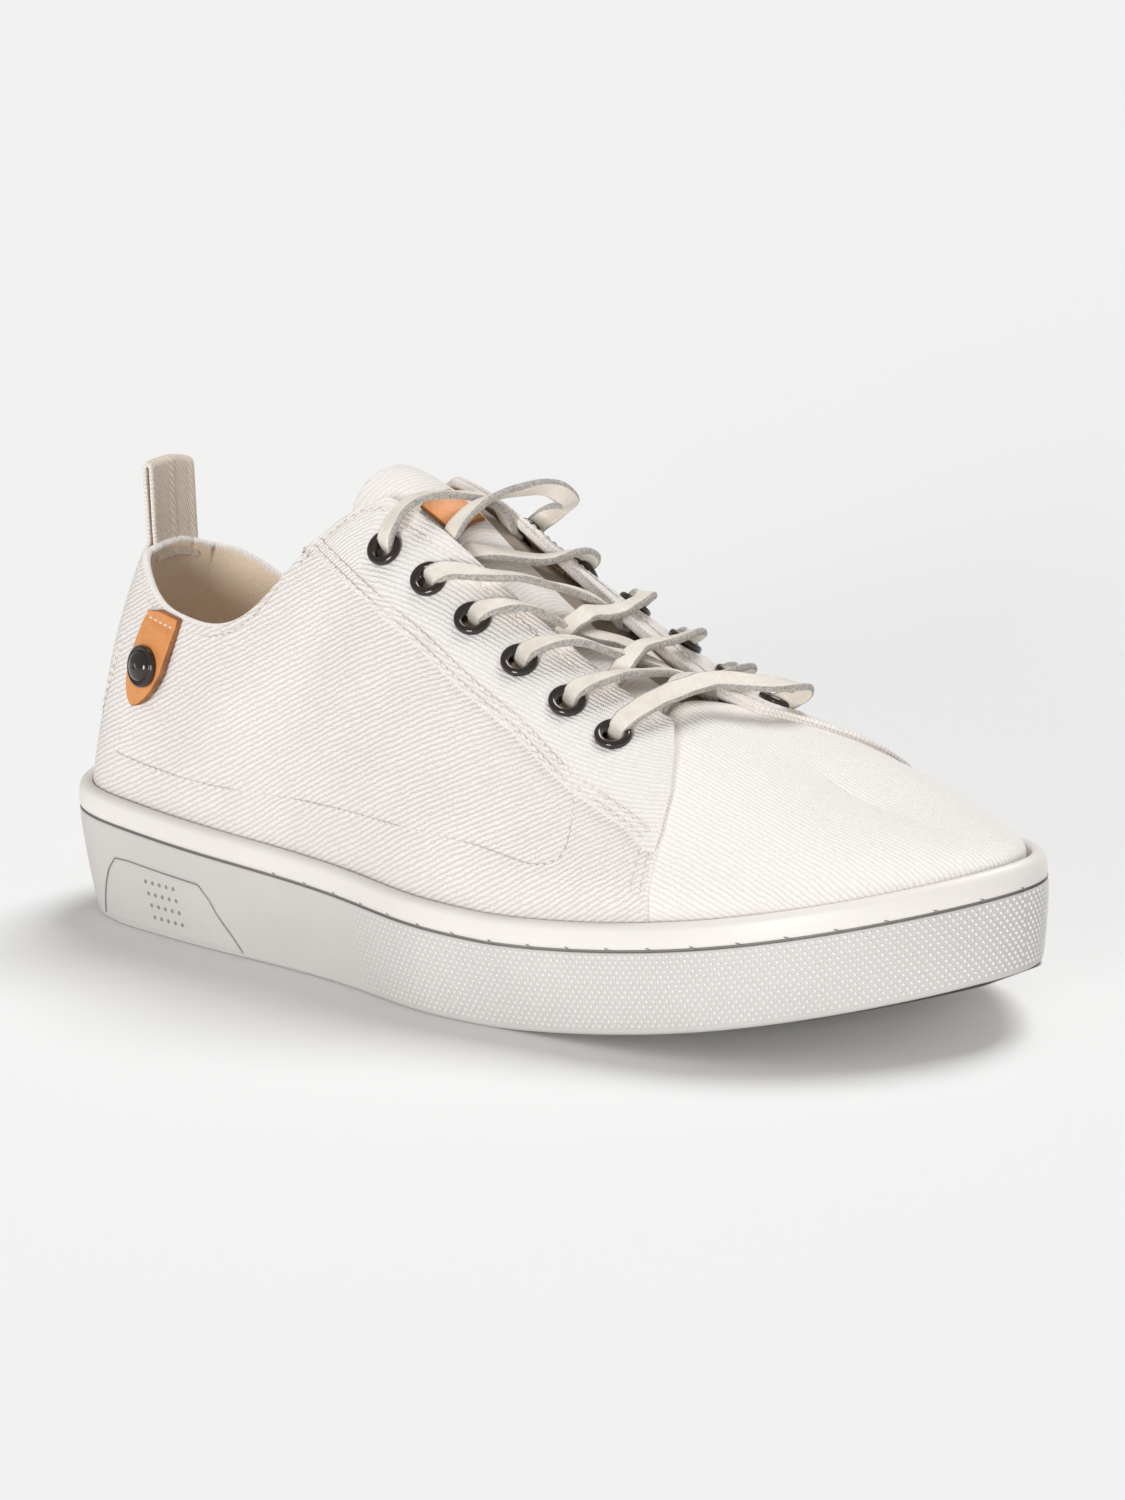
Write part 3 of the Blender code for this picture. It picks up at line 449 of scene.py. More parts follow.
def sheet_mesh(outer, inner, uv, bulge=0.45, holes=None, folded=False):
    """Points, faces, slots and UVs of a sheet with rounded edges.

    Slots are 0 for the outer face, 1 for the edges and 2 for the inner face.
    Cells marked in holes are left out.  A folded sheet's last row closes on
    itself and gets no edge.
    """
    rows, cols = outer.shape[:2]
    size = rows * cols
    ends = 0 if folded else 1
    ring = [] if folded else [(rows - 1, c) for c in reversed(range(cols))]
    ring += [(r, 0) for r in reversed(range(ends, rows - ends))]
    ring += [(0, c) for c in range(1 - ends, cols)]
    ring += [(r, cols - 1) for r in range(1, rows - ends)]
    at = np.array(ring)
    near = np.stack([np.clip(at[:, 0], 1, rows - 2), np.clip(at[:, 1], 1, cols - 2)], 1)
    edge, back = outer[at[:, 0], at[:, 1]], inner[at[:, 0], at[:, 1]]
    away = unit(edge - outer[near[:, 0], near[:, 1]])
    thick = np.linalg.norm(edge - back, axis=1, keepdims=True)
    loops = []
    for part in (0.15, 0.5, 0.85):
        out = bulge * thick * sin(pi * part) ** 0.7
        loops.append(edge * (1 - part) + back * part + away * out)
    points = np.concatenate([outer.reshape(-1, 3), inner.reshape(-1, 3)] + loops)
    gone = np.zeros((rows + 1, cols + 1), bool)
    if holes is not None:
        gone[1:-1, 1:-1] = holes
    faces, slots = [], []
    for r, c in np.ndindex(rows - 1, cols - 1):
        a, b = r * cols + c, (r + 1) * cols + c
        if not gone[r + 1, c + 1]:
            faces += [(a, a + 1, b + 1, b), (size + b, size + b + 1, size + a + 1, size + a)]
            slots += [0, 2]
            continue
        walls = ((a, a + 1), (b, b + 1), (a, b), (a + 1, b + 1))
        beyond = (gone[r, c + 1], gone[r + 2, c + 1], gone[r + 1, c], gone[r + 1, c + 2])
        for (one, two), open_side in zip(walls, beyond):
            if not open_side:
                faces.append((one, two, size + two, size + one))
                slots.append(1)
    count = len(ring)
    border = [r * cols + c for r, c in ring]
    chain = [border]
    chain += [list(range(2 * size + k * count, 2 * size + (k + 1) * count)) for k in range(3)]
    chain.append([size + i for i in border])
    for one, two in zip(chain, chain[1:]):
        for k in range(count - 1 if folded else count):
            m = (k + 1) % count
            faces.append((one[k], one[m], two[m], two[k]))
            slots.append(1)
    flat = uv.reshape(-1, 2)
    uvs = np.concatenate([flat, flat] + [flat[border]] * 3)
    return points, faces, slots, uvs


def add_sheet(name, outer, inner, uv, materials, bulge=0.45, holes=None, folded=False):
    """A piece made from sheet_mesh()."""
    points, faces, slots, uvs = sheet_mesh(outer, inner, uv, bulge, holes, folded)
    piece = add_piece(name, points, faces, materials, slots, uvs)
    if folded:
        turn_outward(piece.data, 0.001 * MM)
    return piece


def add_parts(name, parts, materials):
    """One piece from many (points, faces, material number)."""
    points, faces, slots = [], [], []
    for some_points, some_faces, index in parts:
        first = len(points)
        points.extend(some_points)
        faces.extend(tuple(first + i for i in f) for f in some_faces)
        slots.extend([index] * len(some_faces))
    add_piece(name, points, faces, materials, slots)


def turned(profile, segments, matrix):
    """Points and faces of a ring turned about +Z from a closed profile."""
    points = []
    for i in range(segments):
        angle = 2 * pi * i / segments
        for radius, height in profile:
            points.append(matrix @ Vector((radius * cos(angle), radius * sin(angle), height)))
    count = len(profile)
    faces = []
    for i in range(segments):
        j = (i + 1) % segments
        for k in range(count):
            m = (k + 1) % count
            faces.append((i * count + k, j * count + k, j * count + m, i * count + m))
    return points, faces


def placed(point, direction):
    """A matrix that puts +Z along a direction at a point."""
    turn = Vector(direction).to_track_quat("Z", "Y").to_matrix().to_4x4()
    return Matrix.Translation(Vector(point)) @ turn


# Materials


class Nodes:
    """Short calls for a material's nodes."""

    def __init__(self, name):
        self.material = bpy.data.materials.new(name)
        self.material.use_nodes = True
        self.tree = self.material.node_tree
        self.shader = self.tree.nodes["Principled BSDF"]

    def add(self, kind, **values):
        node = self.tree.nodes.new(kind)
        for key, value in values.items():
            setattr(node, key, value)
        return node

    def link(self, source, target):
        self.tree.links.new(source, target)

    def math(self, operation, first, second=None, third=None):
        node = self.add("ShaderNodeMath", operation=operation)
        for i, value in enumerate((first, second, third)):
            if value is None:
                continue
            if isinstance(value, (int, float)):
                node.inputs[i].default_value = value
            else:
                self.link(value, node.inputs[i])
        return node.outputs[0]

    def noise(self, scale, detail=2.0, vector=None, roughness=0.5):
        node = self.add("ShaderNodeTexNoise")
        node.inputs["Scale"].default_value = scale
        node.inputs["Detail"].default_value = detail
        node.inputs["Roughness"].default_value = roughness
        self.link(vector or self.add("ShaderNodeTexCoord").outputs["Object"], node.inputs["Vector"])
        return node.outputs["Fac"]

    def mix(self, factor, first, second):
        node = self.add("ShaderNodeMix", data_type="RGBA")
        for name, value in (("Factor", factor), ("A", first), ("B", second)):
            socket = node.inputs[name]
            if isinstance(value, (int, float)):
                socket.default_value = value
            elif isinstance(value, tuple):
                socket.default_value = (*value, 1)
            else:
                self.link(value, socket)
        return node.outputs["Result"]

    def ramp(self, value, stops):
        node = self.add("ShaderNodeValToRGB")
        ramp = node.color_ramp
        while len(ramp.elements) < len(stops):
            ramp.elements.new(0.5)
        for element, (place, color) in zip(ramp.elements, stops):
            element.position = place
            element.color = (*color, 1) if isinstance(color, tuple) else (color, color, color, 1)
        self.link(value, node.inputs["Fac"])
        return node.outputs["Color"]

    def bump(self, height, distance, strength=1.0):
        node = self.add("ShaderNodeBump")
        node.inputs["Strength"].default_value = strength
        node.inputs["Distance"].default_value = distance
        self.link(height, node.inputs["Height"])
        self.link(node.outputs["Normal"], self.shader.inputs["Normal"])

    def finish(self, color, roughness, **constants):
        if isinstance(color, tuple):
            self.shader.inputs["Base Color"].default_value = (*color, 1)
        else:
            self.link(color, self.shader.inputs["Base Color"])
        if isinstance(roughness, (int, float)):
            self.shader.inputs["Roughness"].default_value = roughness
        else:
            self.link(roughness, self.shader.inputs["Roughness"])
        for name, value in constants.items():
            self.shader.inputs[name.replace("_", " ")].default_value = value
        return self.material


def twill(name, angle, pitch, high, low, depth=0.00016, contrast=1.0):
    """Woven cloth with slanting ribs, laid out by the piece's cloth UVs in metres."""
    n = Nodes(name)
    uv = n.add("ShaderNodeUVMap", uv_map="cloth").outputs["UV"]
    split = n.add("ShaderNodeSeparateXYZ")
    n.link(uv, split.inputs[0])
    u, v = split.outputs[0], split.outputs[1]
    turn = radians(angle)
    wander = n.math("MULTIPLY", n.math("SUBTRACT", n.noise(100, 3), 0.5), 1.1)
    jitter = n.math("MULTIPLY", n.math("SUBTRACT", n.noise(1300, 2), 0.5), 0.85)
    across = n.math("SUBTRACT", n.math("MULTIPLY", v, cos(turn) / pitch),
                    n.math("MULTIPLY", u, sin(turn) / pitch))
    across = n.math("ADD", n.math("ADD", across, wander), jitter)
    along = n.math("ADD", n.math("MULTIPLY", u, cos(turn) / (0.62 * pitch)),
                   n.math("MULTIPLY", v, sin(turn) / (0.62 * pitch)))
    rib = n.math("MULTIPLY_ADD", n.math("SINE", n.math("MULTIPLY", across, 2 * pi)), 0.5, 0.5)
    rib = n.math("POWER", rib, 0.65)
    yarn = n.math("ADD", along, n.math("MULTIPLY", across, 0.5))
    yarn = n.math("MULTIPLY_ADD", n.math("SINE", n.math("MULTIPLY", yarn, 2 * pi)), 0.5, 0.5)
    fuzz = n.noise(2600, 2)
    height = n.math("ADD", n.math("MULTIPLY", rib, 0.72), n.math("MULTIPLY", yarn, 0.14))
    height = n.math("ADD", height, n.math("MULTIPLY", fuzz, 0.22))
    patches = n.math("MULTIPLY", n.noise(45, 3), 0.16)
    shade = n.math("SUBTRACT", n.math("MULTIPLY", height, contrast), patches)
    shade = n.math("ADD", shade, 0.10)
    color = n.mix(shade, low, high)
    n.bump(height, depth)
    rough = n.math("MULTIPLY_ADD", fuzz, 0.1, 0.84)
    return n.finish(color, rough, Sheen_Weight=0.12, Sheen_Roughness=0.5, Specular_IOR_Level=0.2)


def rubber(name, high, low, grain, roughness, depth):
    """Moulded rubber with a fine grain and slow patches."""
    n = Nodes(name)
    spots = n.noise(grain, 3)
    color = n.mix(n.ramp(n.noise(26, 4), [(0.3, 0.0), (0.7, 1.0)]), low, high)
    n.bump(spots, depth)
    rough = n.math("MULTIPLY_ADD", n.noise(60, 3), 0.12, roughness - 0.06)
    return n.finish(color, rough, Specular_IOR_Level=0.45, Subsurface_Weight=0.05,
                    Subsurface_Scale=0.002)


def leather(name, high, low, grain, depth, roughness=0.5, pit_darkening=0.0):
    """Leather with pores, darker towards the pits, and patches of a darker tone."""
    n = Nodes(name)
    cells = n.add("ShaderNodeTexVoronoi", feature="F1")
    cells.inputs["Scale"].default_value = grain
    n.link(n.add("ShaderNodeTexCoord").outputs["Object"], cells.inputs["Vector"])
    pits = n.math("POWER", cells.outputs["Distance"], 0.7)
    patches = n.ramp(n.noise(170, 4), [(0.32, 0.0), (0.68, 1.0)])
    color = n.mix(patches, low, high)
    # Colour darker towards the middles of the pits, where the bump is lowest
    dark = n.math("MULTIPLY", n.math("SUBTRACT", 1.0, pits), pit_darkening)
    color = n.mix(dark, color, tuple(0.55 * c for c in low))
    height = n.math("ADD", pits, n.math("MULTIPLY", n.noise(520, 3), 0.6))
    n.bump(height, depth)
    return n.finish(color, roughness, Specular_IOR_Level=0.4)


def suede(name, high, low):
    """A fibrous face, light and dark in turn."""
    n = Nodes(name)
    fibres = n.noise(1500, 4, roughness=0.75)
    color = n.mix(n.ramp(fibres, [(0.30, 0.0), (0.66, 1.0)]), low, high)
    n.bump(fibres, 0.00018)
    return n.finish(color, 0.95, Sheen_Weight=0.3, Sheen_Roughness=0.5, Specular_IOR_Level=0.15)


def metal(name, color, roughness):
    """Dark glossy metal with faint smudges."""
    n = Nodes(name)
    smudge = n.noise(300, 3)
    rough = n.math("MULTIPLY_ADD", smudge, 0.12, roughness - 0.05)
    tint = n.mix(smudge, tuple(0.75 * c for c in color), color)
    return n.finish(tint, rough, Metallic=0.6, Specular_IOR_Level=0.35, Coat_Weight=0.6,
                    Coat_Roughness=0.06)


CANVAS_HIGH = (0.925, 0.895, 0.870)
CANVAS_LOW = (0.80, 0.745, 0.71)
quarter_cloth = twill("quarter_twill", 28, 1.35 * MM, (0.915, 0.875, 0.85), (0.69, 0.615, 0.575), 0.00024)
eyestay_cloth = twill("eyestay_twill", 9, 1.3 * MM, CANVAS_HIGH, CANVAS_LOW, 0.00026)
# Painted light: the vamp gets a lighter, flatter copy of the same canvas, for the brighter top of the toe
vamp_lit_cloth = twill("vamp_twill_painted_light", 0, 1.35 * MM, (0.955, 0.93, 0.905), (0.82, 0.77, 0.73), 0.0002)
tongue_cloth = twill("tongue_twill", 82, 1.3 * MM, (0.90, 0.86, 0.83), (0.76, 0.71, 0.67), 0.0001)
# Painted shade: dark brown cloth for the white tongue deep in the throat, where shade falls under the
# facings
throat_shade_cloth = twill("throat_painted_shade", 60, 1.0 * MM, (0.36, 0.30, 0.24), (0.20, 0.16, 0.125), 0.0001)
lining_cloth = twill("lining_weave", 38, 0.85 * MM, (0.97, 0.82, 0.66), (0.84, 0.67, 0.51), 0.0001)
loop_cloth = twill("loop_webbing", 62, 0.95 * MM, (0.80, 0.71, 0.60), (0.56, 0.475, 0.38), 0.00012)
loop_edge_cloth = twill("loop_edge", 20, 1.0 * MM, (0.90, 0.84, 0.79), (0.70, 0.62, 0.56))
lip_rubber = rubber("lip_rubber", (0.86, 0.82, 0.79), (0.81, 0.77, 0.73), 900, 0.42, 0.00002)
side_rubber = rubber("sidewall_rubber", (0.66, 0.635, 0.61), (0.61, 0.585, 0.56), 2200, 0.6, 0.00006)
# Painted highlight: the pimples get a much lighter copy of the side's rubber
pimple_highlight_rubber = rubber("raised_rubber_painted_highlight", (0.88, 0.86, 0.84), (0.82, 0.80, 0.78), 2200, 0.5, 0.00003)
tread_rubber = rubber("tread_rubber", (0.72, 0.70, 0.68), (0.64, 0.62, 0.60), 900, 0.65, 0.00008)
tan_leather = leather("tan_leather", (0.80, 0.345, 0.115), (0.70, 0.27, 0.08), 1300, 0.00008, 0.45, 0.15)
tan_edge = leather("tan_leather_edge", (0.42, 0.17, 0.06), (0.25, 0.09, 0.03), 1800, 0.0002, 0.8, 0.5)
lace_face = leather("lace_leather", (0.88, 0.825, 0.745), (0.77, 0.70, 0.61), 1500, 0.00014, 0.55, 0.16)
lace_edge = suede("lace_suede", (0.60, 0.565, 0.52), (0.22, 0.205, 0.185))
dark_metal = metal("black_metal", (0.050, 0.038, 0.032), 0.15)
binding_cloth = twill("cut_edge", 45, 0.8 * MM, (0.94, 0.90, 0.87), (0.76, 0.69, 0.64))
# Painted shade: dark rubber for the side groove, the heel dots and the heel panel's line, where shade falls
# in recesses
groove_shade_rubber = rubber("groove_shade_rubber", (0.34, 0.32, 0.30), (0.26, 0.245, 0.23), 900, 0.6, 0.00004)
dark_thread = suede("groove_thread", (0.36, 0.34, 0.32), (0.20, 0.19, 0.18))
thread = twill("thread", 20, 0.5 * MM, (0.90, 0.85, 0.79), (0.70, 0.62, 0.54), 0.00005)
white_thread = twill("white_thread", 20, 0.5 * MM, (0.90, 0.86, 0.80), (0.70, 0.62, 0.52), 0.00005)
# Painted shade: dark discs for the shade inside the needle holes
needle_hole_shade = suede("needle_hole_shade", (0.70, 0.62, 0.56), (0.54, 0.46, 0.40))


# Seams and stitches


SEAM_SPACING = 0.6 * MM
STITCH_PITCH = 2.5 * MM
STITCH_LENGTH = 1.9 * MM
STITCH_RADIUS = 0.23 * MM


def on_skin(path, side, offset=0.0):
    """A seam's evenly spaced places (q, share), moved sideways by offset metres."""
    path = np.array(path, float)
    steps = np.linspace(0, len(path) - 1, 60 * (len(path) - 1) + 1)
    q = side_q(Smooth(path[:, 0])(steps), side)
    share = np.clip(Smooth(path[:, 1])(steps), 0, 1)
    line = SKIN.plain(q, share)
    walked = arc_lengths(line)
    even = np.arange(0, walked[-1], SEAM_SPACING)
    q, share = np.interp(even, walked, q), np.interp(even, walked, share)
    if offset:
        line = SKIN.plain(q, share)
        dq = (SKIN.plain(q + 0.01, share) - line) / 0.01
        ds = (SKIN.plain(q, np.minimum(share + 0.01, 1)) - line) / 0.01
        goal = offset * unit(np.cross(SKIN.normal(q, share), np.gradient(line, axis=0)))
        a, b, c, e, f = ((one * two).sum(1) for one, two in (
            (dq, dq), (dq, ds), (ds, ds), (dq, goal), (ds, goal)))
        size = a * c - b * b
        q = q + (e * c - b * f) / size
        share = share + (a * f - b * e) / size
    return q, np.clip(share, 0, 1)


def stitches(q, share, height):
    """Threads and needle holes along a seam, as parts for add_parts."""
    parts = []
    radius = STITCH_RADIUS
    step = STITCH_PITCH / SEAM_SPACING
    reach = STITCH_LENGTH / SEAM_SPACING
    place = 0.5
    while place + reach < len(q) - 1:
        at = place + np.linspace(0, reach, 5)
        qs = np.interp(at, np.arange(len(q)), q)
        shares = np.interp(at, np.arange(len(q)), share)
        rise = np.array([-0.6, 0.55, 0.8, 0.55, -0.6]) * radius
        line = SKIN.at(qs, shares, height + rise)
        out = SKIN.normal(qs, shares)
        parts.append((*thin_rod(line, out, radius), 0))
        for end in (0, -1):
            parts.append((*pit(line[end] + out[end] * 0.62 * radius, out[end], 1.15 * radius), 1))
        place += step
    return parts


def thin_rod(line, out, radius, sides=5):
    """Points and faces of a thread along a line."""
    run = unit(np.gradient(line, axis=0))
    side = unit(np.cross(run, out))
    up = np.cross(side, run)
    thin = np.array([0.45] + [1.0] * (len(line) - 2) + [0.45]) * radius
    points = []
    for i in range(len(line)):
        for k in range(sides):
            turn = 2 * pi * k / sides
            points.append(line[i] + thin[i] * (cos(turn) * side[i] + sin(turn) * up[i]))
    faces = grid_faces(len(line), sides, wrap=True)
    faces.append(tuple(reversed(range(sides))))
    last = (len(line) - 1) * sides
    faces.append(tuple(range(last, last + sides)))
    return points, faces


def pit(point, out, radius):
    """A small flat dark disc sunk in the cloth where the needle went: painted shade for the hole."""
    matrix = placed(point, out)
    points = [matrix @ Vector((radius * cos(a), radius * sin(a), 0))
              for a in np.linspace(0, 2 * pi, 7)[:-1]]
    points.append(matrix @ Vector((0, 0, 0.12 * radius)))
    points.append(matrix @ Vector((0, 0, -0.8 * radius)))
    faces = []
    for k in range(6):
        m = (k + 1) % 6
        faces.append((k, m, 6))
        faces.append((m, k, 7))
    return points, faces


class Seams:
    """Places of all seams, which draw the cloth in."""

    def __init__(self):
        self.lines = []
        self.tree = None

    def add(self, q, share):
        self.lines.append(SKIN.plain(q[::2], share[::2]))

    def build(self):
        points = np.concatenate(self.lines)
        self.tree = KDTree(len(points))
        for i, point in enumerate(points):
            self.tree.insert(point, i)
        self.tree.balance()

    def pull(self, points, depth=0.28 * MM, reach=1.1 * MM):
        """How far the cloth sinks towards the nearest seam."""
        gaps = np.array([self.tree.find(Vector(p))[2] for p in points.reshape(-1, 3)])
        return (-depth * np.exp(-(gaps / reach) ** 2)).reshape(points.shape[:-1])


# Places of the eyelets


class Eyelet:
    """The place of one eyelet on the upper."""
    def __init__(self, row, side):
        self.q = float(side_q(row_station(row), side))
        part = (row - 1) / (EYELETS - 1)
        edge = EYELET_EDGES[0] + (EYELET_EDGES[1] - EYELET_EDGES[0]) * part
        self.share = SKIN.share_below(self.q, edge)
        self.name = f"eyelet_{'lateral' if side < 0 else 'medial'}_{row}"
        self.foot = SKIN.plain(self.q, self.share)
        self.out = SKIN.normal(self.q, self.share)
        self.top = SKIN.over(self.q, self.share, CANVAS)


EYELET_PLACES = [Eyelet(row, side) for side in (-1, 1) for row in range(1, EYELETS + 1)]


def hole_cells(outer):
    """The grid's cells that an eyelet's hole takes away."""
    middle = (outer[:-1, :-1] + outer[1:, 1:]) / 2
    gone = np.zeros(middle.shape[:2], bool)
    for place in EYELET_PLACES:
        away = middle - place.foot
        along = away @ place.out
        beside = np.sqrt(np.maximum((away**2).sum(-1) - along**2, 0))
        gone |= (beside < EYELET_HOLE) & (np.abs(along) < 8 * MM)
    return gone


def eyelet_dimples(points):
    """The cloth sinks a little around each pressed eyelet."""
    total = np.zeros(points.shape[:-1])
    for place in EYELET_PLACES:
        far = np.linalg.norm(points - place.foot, axis=-1)
        total -= 0.35 * MM * np.exp(-((far - 0.0035) / 0.0022) ** 2)
    return total


WAVE_LENGTH = 11 * MM


def unevenness(points, size=0.16 * MM):
    """Slow waves that keep the cloth from looking machined."""
    x, y, z = np.moveaxis(points / WAVE_LENGTH, -1, 0)
    waves = np.sin(x + 1.7 * np.sin(0.6 * z)) * np.sin(1.3 * z + 0.8 * y)
    return size * (waves + 0.6 * np.sin(2.3 * x - 1.9 * z + y))


# All seams, as rows of even places on the skin

SEAMS = Seams()
TOP_STITCH = [(3.96, 0.560), (4.10, 0.605), (4.24, 0.660), (4.36, 0.705), (4.52, 0.745), (4.75, 0.772)]
HEEL_STITCH = [(1.36, 0.330), (1.18, 0.240), (1.02, 0.150)]


def eyestay_edge(station):
    """The share of the eyestay's lower edge."""
    stations, shares = zip(*EYESTAY_EDGE)
    return np.interp(station, stations, shares)


def collar_row(side, first, last, below, count):
    """A path that follows the collar or facing at a distance."""
    path = []
    for station in np.linspace(first, last, count):
        q = float(side_q(station, side))
        path.append((station, SKIN.share_below(q, below)))
    return path


def seam_rows():
    """Every stitched row: its places, height over the skin and thread."""
    rows = []

    def add(path, side, offset, height):
        q, share = on_skin(path, side, offset)
        rows.append((q, share, height))
        SEAMS.add(q, share)

    front = [(station, share) for share, station in QUARTER_FRONT[1:-1]]
    for side in (-1, 1):
        turn = -side
        add(EYESTAY_EDGE, side, turn * 1.1 * MM, CANVAS)
        add(EYESTAY_EDGE, side, turn * 3.4 * MM, CANVAS)
        add(TOP_STITCH, side, 0.0, CANVAS)
        add(collar_row(side, 4.95, 8.3, 0.0042, 30), side, 0.0, CANVAS)
        add(front, side, turn * 1.6 * MM, 0.05 * MM)
        add(front, side, turn * 4.2 * MM, 0.05 * MM)
        add(LOWER_STITCH, side, 0.0, 0.0)
    return rows


# The upper's pieces

WALL = 2.2 * MM
CLOTH_STEP = 1.25 * MM
QUARTERS_SPAN = (0.43, 0.078)

EYESTAY_START = 3.93
VAMP_OVERLAP = 0.42

# How far the cloth goes on down inside the cup
SKIRT = 7.5 * MM


def cloth(q, share, height=0.0, sink=0.28 * MM):
    """Points of a cloth face with creases, seams drawn in and dimples."""
    base = SKIN.plain(q, share)
    drawn = SEAMS.pull(base, sink) + eyelet_dimples(base) + unevenness(base)
    return SKIN.at(q, share, height + drawn)


def quarter_places(rows, cols):
    """The grid of places of both quarters, from seam to seam round the heel."""
    c = np.linspace(-1, 1, cols)[None, :]
    t = np.linspace(0, 1, rows)[:, None]

    def place(share):
        station = np.abs(c) * seam_station(share)
        return np.where(c < 0, -station, station + inner_shift(station))

    q = place(np.full((rows, cols), 0.4))
    share = t * SKIN.trim(q)
    for _ in range(3):
        q = place(share)
        share = t * SKIN.trim(q)
    return q, share


def make_quarters():
    """Outer and inner quarter in one sheet, sunk a little at its front edge."""
    cols, rows = (int(span / CLOTH_STEP) for span in QUARTERS_SPAN)
    q, share = quarter_places(rows, cols)
    front = np.abs(np.linspace(-1, 1, cols))[None, :] > 1 - 1.5 / cols
    outer = cloth(q, share, np.where(front, -0.15 * MM, 0.05 * MM))
    inner = SKIN.at(q, share, -WALL)
    foot = np.array([0, 0, -SKIRT])
    outer = np.concatenate([outer[:1] + foot, outer])
    inner = np.concatenate([inner[:1] + foot, inner])
    along = arc_lengths(outer[rows // 3][:, None])[:, 0]
    u = np.broadcast_to(along[None, :], outer.shape[:2])
    v = arc_lengths(outer)
    middle = cols // 2
    u = np.abs(u - along[middle])
    uv = np.stack([u, v], -1)
    piece = add_sheet("quarters", outer, inner, uv, [quarter_cloth, binding_cloth, lining_cloth],
                      0.4, hole_cells(outer))
    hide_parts("upper")


def make_vamp():
    """Toe piece, drawn over the ridge from side to side and under the quarters."""
    rows, half = 78, 62
    start = SEAM - VAMP_OVERLAP
    station = start + (TOE - start) * np.linspace(0, 1, rows) ** 0.93
    level = np.linspace(0, 1, half + 1) ** 0.9
    sides = []
    for side in (-1, 1):
        share = np.broadcast_to(level[None, :], (rows, half + 1))
        lean = np.clip((1 - share) / 0.25, 0, 1)
        if side < 0:
            q = np.broadcast_to(-station[:, None], share.shape)
        else:
            q = station[:, None] + inner_shift(station)[:, None] * lean
        depth = -CANVAS - 0.15 * MM + np.zeros(share.shape)
        away = np.linalg.norm(np.diff(SKIN.plain(q, share), axis=1), axis=-1)
        away = np.concatenate([np.cumsum(away[:, ::-1], axis=1)[:, ::-1], np.zeros((rows, 1))], 1)
        base = SKIN.plain(q, share)
        ridge = SKIN.ridge(station)[:, None, :2]
        run = unit(base[:, :1, :2] - ridge)
        uv = ridge + run * away[..., None]
        outer = SKIN.at(q, share, depth + SEAMS.pull(base) + unevenness(base, 0.13 * MM))
        inner = SKIN.at(q, share, depth - 0.9 * MM)
        foot = np.array([0, 0, -SKIRT])
        outer = np.concatenate([outer[:, :1] + foot, outer], 1)
        inner = np.concatenate([inner[:, :1] + foot, inner], 1)
        uv = np.concatenate([uv[:, :1] + SKIRT * run, uv], 1)
        sides.append((outer, inner, uv))
    (one, one_in, one_uv), (two, two_in, two_uv) = sides
    outer, inner = (
        np.concatenate([left[:, :-1], (left[:, -1:] + right[:, -1:]) / 2, right[:, -2::-1]], 1)
        for left, right in ((one, two), (one_in, two_in)))
    uv = np.concatenate([one_uv, two_uv[:, -2::-1]], 1)
    outer[-1] = (outer[-1] + outer[-1][::-1]) / 2
    inner[-1] = (inner[-1] + inner[-1][::-1]) / 2
    near = np.clip(1.2 - np.abs(np.arange(2 * half + 3) - half - 1) / 24, 0, 1)[None, :, None]
    for _ in range(45):
        for sheet in (outer, inner):
            mean = (sheet[:, :-2] + sheet[:, 2:]) / 2
            sheet[:, 1:-1] += 0.5 * near[:, 1:-1] * (mean - sheet[:, 1:-1])
    # The vamp's cloth is the lighter painted-light copy of the canvas
    piece = add_sheet("vamp", outer, inner, uv, [vamp_lit_cloth, binding_cloth, lining_cloth],
                      0.3, None, True)
    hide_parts("upper")


def make_eyestay(side):
    """The facing that carries the eyelets, laid over the quarter."""
    name = "eyestay_lateral" if side < 0 else "eyestay_medial"
    cols, rows = 128, 30
    start = EYESTAY_START
    t = np.linspace(0, 1, rows)[:, None]
    s = np.linspace(0, 1, cols)[None, :]
    share = np.full((rows, cols), 0.6)
    for _ in range(4):
        station = start + (seam_station(share) - 0.005 - start) * s
        q = side_q(station, side)
        low = eyestay_edge(station)
        high = SKIN.trim(q)
        share = low + (high - low) * t
    outer = cloth(q, share, CANVAS + 0.05 * MM, 0.33 * MM)
    inner = SKIN.at(q, share, -0.25 * MM)
    u = np.broadcast_to(arc_lengths(outer[rows // 2][:, None])[:, 0][None, :], (rows, cols))
    v = arc_lengths(outer)
    uv = np.stack([u, v - v[-1:]], -1)
    piece = add_sheet(name, outer, inner, uv, [eyestay_cloth, binding_cloth, lining_cloth],
                      0.5, hole_cells(outer))
    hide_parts("upper")


# Tongue and label

TONGUE_DEPTH = 3.6 * MM
TONGUE_THICKNESS = 2.6 * MM
TONGUE_TOP = 4.12
TONGUE_END = 9.0
TONGUE_HALF = (0.030, 0.019)
TONGUE_CORNER = 0.016

# Where the painted shade in the throat starts: station and distance to the inner side
THROAT_SHADE = (5.05, 3.5 * MM)
LABEL_START = TONGUE_TOP + 0.78
LABEL_LENGTH = 0.013
LABEL_WIDTH = 0.012
LABEL_ASIDE = 0.004


def beside_ridge(station, away):
    """Places (q, share) at signed distances from the ridge."""
    q, share = np.zeros(len(away)), np.zeros(len(away))
    for side in (-1, 1):
        here = away < 0 if side < 0 else away >= 0
        q[here] = side * station
        share[here] = SKIN.share_from(side * station, 1, np.abs(away[here]))
    return q, share


